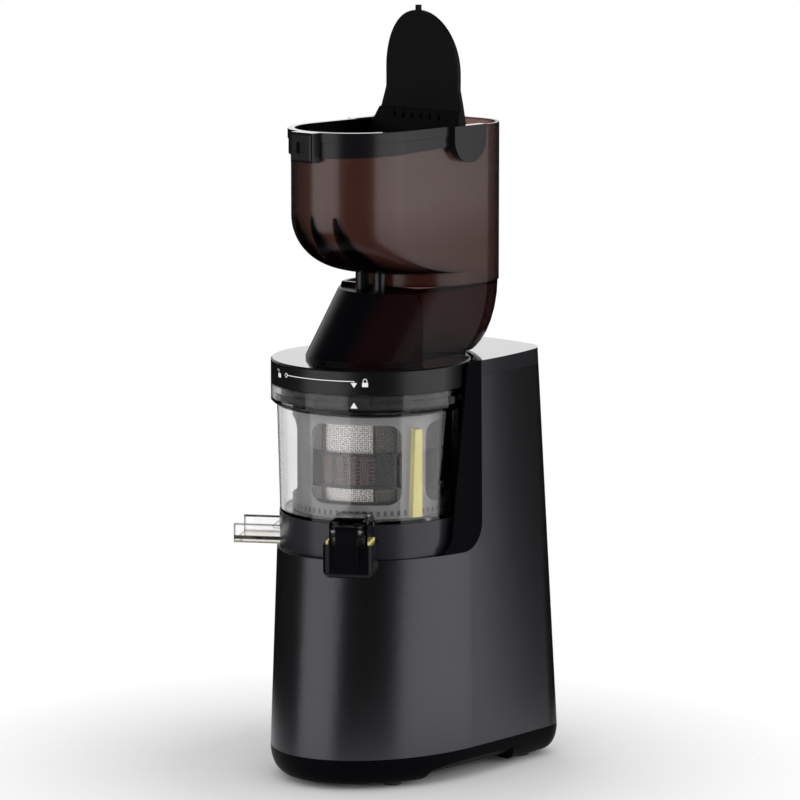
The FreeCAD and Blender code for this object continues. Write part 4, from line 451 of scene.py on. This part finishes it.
for look, members in LOOKS:
    for member in members:
        slots = nodes[member].data.materials
        slots.clear()
        slots.append(look.material)
bare = sorted(set(nodes) - {member for _, members in LOOKS for member in members})
assert not bare, bare


# Printed marks on the lid ring and the bowl's flange, drawn flat in millimetres

PRINT_PROUD = 0.06
LID_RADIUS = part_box("lid")[1].x / MM + PRINT_PROUD
FLANGE_RADIUS = 68.0 + PRINT_PROUD
LID_MARKS_Z, BOWL_ARROW_Z = 278.2, 262.6
ARROW_TURN = math.radians(32.8)
PRINT_WHITE = moulded("print_white", (0.80, 0.80, 0.82), 0.5, change=0.05, edge=0).material


def wrapped(name, outlines, radius, at_height, body):
    """Thin printed shapes, wrapped round the bowl axis from the place of the arrows."""
    mesh = bmesh.new()
    for outline in outlines:
        mesh.faces.new([mesh.verts.new((x, 0, z)) for x, z in outline])
    for vert in mesh.verts:
        turn = ARROW_TURN + vert.co.x / radius
        height = at_height + vert.co.z
        vert.co = Vector((radius * math.sin(turn), -radius * math.cos(turn), height)) * MM
    data = bpy.data.meshes.new(name)
    mesh.to_mesh(data)
    mesh.free()
    data.materials.append(PRINT_WHITE)
    piece = bpy.data.objects.new(name, data)
    scene.collection.objects.link(piece)
    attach(piece, body)


def bar(x, z, width, height):
    """A bar in pieces short enough to follow the curve."""
    longest = 1.5
    count = max(1, round(width / longest))
    step = width / count
    starts = [x + step * i for i in range(count)]
    return [[(s, z), (s + step, z), (s + step, z + height), (s, z + height)] for s in starts]


def arch(x, z, outer, inner, turn=math.pi, steps=10):
    """Part of a ring, from its right end on."""
    rays = [(math.cos(turn * i / steps), math.sin(turn * i / steps)) for i in range(steps + 1)]
    rims = [[(x + radius * c, z + radius * s) for c, s in rays] for radius in (outer, inner)]
    return [[rims[0][i], rims[0][i + 1], rims[1][i + 1], rims[1][i]] for i in range(steps)]


def padlock(x, z, shift):
    """A small padlock: body, and a shackle that stands over it, or beside it where it is open."""
    shackle = bar(x + shift + 1.0, z + 0.5, 0.5, 1.3) + arch(x + shift, z + 1.8, 1.5, 1.0)
    if not shift:
        shackle += bar(x - 1.5, z + 0.5, 0.5, 1.3)
    return bar(x - 2.0, z - 2.3, 4.0, 2.9) + shackle


degree = math.radians(LID_RADIUS)
line = 44.8 * degree
ring_x, tip_x, tip_end_x = -47.2 * degree, -46.2 * degree, -44.9 * degree
marks = bar(-line, 0.4, line, 0.55) + bar(-0.25, -0.4, 0.5, 1.3)
marks.append([(-2.2, -0.3), (2.2, -0.3), (0.0, -3.6)])
marks += padlock(6.3 * degree, -0.6, shift=0.0) + padlock(-54.8 * degree, 0.2, shift=-2.0)
marks += arch(ring_x, 0.4, outer=1.6, inner=1.1, turn=2 * math.pi, steps=18)
marks.append([(tip_x, 1.9), (tip_end_x, 0.65), (tip_x, -0.6)])
bowl_arrow = [(-2.4, -1.8), (2.4, -1.8), (0.0, 2.2)]
wrapped("lid_marks", marks, LID_RADIUS, LID_MARKS_Z, "lid")
wrapped("bowl_arrow", [bowl_arrow], FLANGE_RADIUS, BOWL_ARROW_Z, "bowl")


# Camera

AZIMUTH, ELEVATION = math.radians(42.0), math.radians(8.9)
TARGET = Vector((0.0147, 0.0132, 0.256))
DISTANCE = 3.06
BACK = Vector((math.sin(AZIMUTH) * math.cos(ELEVATION), -math.cos(AZIMUTH) * math.cos(ELEVATION),
               math.sin(ELEVATION)))

camera = bpy.data.cameras.new("camera")
camera.lens = 202.5
camera.sensor_width = 36.0
camera.clip_end = 20.0
eye = bpy.data.objects.new("camera", camera)
eye.rotation_mode = "QUATERNION"
eye.location = TARGET + BACK * DISTANCE
eye.rotation_quaternion = (-BACK).to_track_quat("-Z", "Y")
scene.collection.objects.link(eye)
scene.camera = eye


# Studio

BOX_LOW, BOX_HIGH = -0.5, 0.6
BOX_RADIANCE = 1.15
SKY_LIGHT = 0.8
SKY_BEFORE = 0.06
SKY_OVERHEAD = 0.03
FLOOR_RADIUS = 0.7
FLOOR_DROP = 0.0005
FLOOR_FADE = (0.13, 0.32)


def softbox(name, turn, distance, half_angle):
    """A soft box beside the object, turned in degrees to the right of the camera, that fills an angle."""
    width = 2 * distance * math.tan(math.radians(half_angle))
    height = BOX_HIGH - BOX_LOW
    middle = (BOX_LOW + BOX_HIGH) / 2
    angle = AZIMUTH + math.radians(turn)
    place = Vector((distance * math.sin(angle), -distance * math.cos(angle), middle))
    data = bpy.data.lights.new(name, "AREA")
    data.shape = "RECTANGLE"
    data.size, data.size_y = width, height
    data.energy = BOX_RADIANCE * math.pi * width * height
    lamp = bpy.data.objects.new(name, data)
    lamp.location = place
    lamp.rotation_mode = "QUATERNION"
    lamp.rotation_quaternion = (Vector((0, 0, middle)) - place).to_track_quat("-Z", "Y")
    scene.collection.objects.link(lamp)


softbox("left_box", turn=-52, distance=1.2, half_angle=27)
softbox("right_box", turn=68, distance=0.95, half_angle=31)

# White to the camera and through clear plastic; reflections see a band of it, mostly behind the object
world = bpy.data.worlds.new("studio")
scene.world = world
world.use_nodes = True
world.node_tree.nodes.clear()
sky = Nodes(world.node_tree)
ray = sky.add("ShaderNodeLightPath").outputs
direction = sky.add("ShaderNodeTexCoord").outputs["Generated"]
up = sky.split(direction)[2]
rise = sky.spread(up, 0.0, 1.0, start=0.0, end=0.04, smooth=True)
fall = sky.spread(up, 1.0, SKY_OVERHEAD, start=0.25, end=0.5, smooth=True)
behind = sky.dot(direction, (-math.sin(AZIMUTH), math.cos(AZIMUTH), 0.0))
backdrop = sky.spread(behind, SKY_BEFORE, 1.0, start=-0.1, end=0.6, smooth=True)
mirrored = sky.times(ray["Is Glossy Ray"], sky.times(sky.times(rise, fall), backdrop))
seen = sky.math("MAXIMUM", ray["Is Camera Ray"], ray["Is Transmission Ray"])
scattered = sky.times(ray["Is Diffuse Ray"], SKY_LIGHT)
strength = sky.math("MAXIMUM", sky.math("MAXIMUM", seen, mirrored), scattered)
background = sky.add("ShaderNodeBackground", Color=(*WHITE, 1.0))
sky.link(strength, background.inputs["Strength"])
sky.link(background.outputs[0], sky.add("ShaderNodeOutputWorld").inputs["Surface"])

# Paper floor that fades into the white round the object's shadow
paper = Shader("floor_paper")
paper.feed("Base Color", paper.blend(paper.noise(8.0), (0.93, 0.93, 0.935), (0.95, 0.95, 0.952)))
paper.set(Roughness=0.9, Specular_IOR_Level=0.0)
from_middle = paper.add("ShaderNodeVectorMath", operation="LENGTH")
paper.link(paper.place, from_middle.inputs[0])
paper.feed("Alpha", paper.spread(from_middle.outputs["Value"], 1.0, 0.0, *FLOOR_FADE))
disc = bmesh.new()
bmesh.ops.create_circle(disc, cap_ends=True, segments=96, radius=FLOOR_RADIUS)
floor_data = bpy.data.meshes.new("floor")
disc.to_mesh(floor_data)
disc.free()
floor_data.materials.append(paper.material)
floor = bpy.data.objects.new("floor", floor_data)
floor.location = (0, 0, -FLOOR_DROP)
scene.collection.objects.link(floor)

scene.view_settings.view_transform = "Standard"
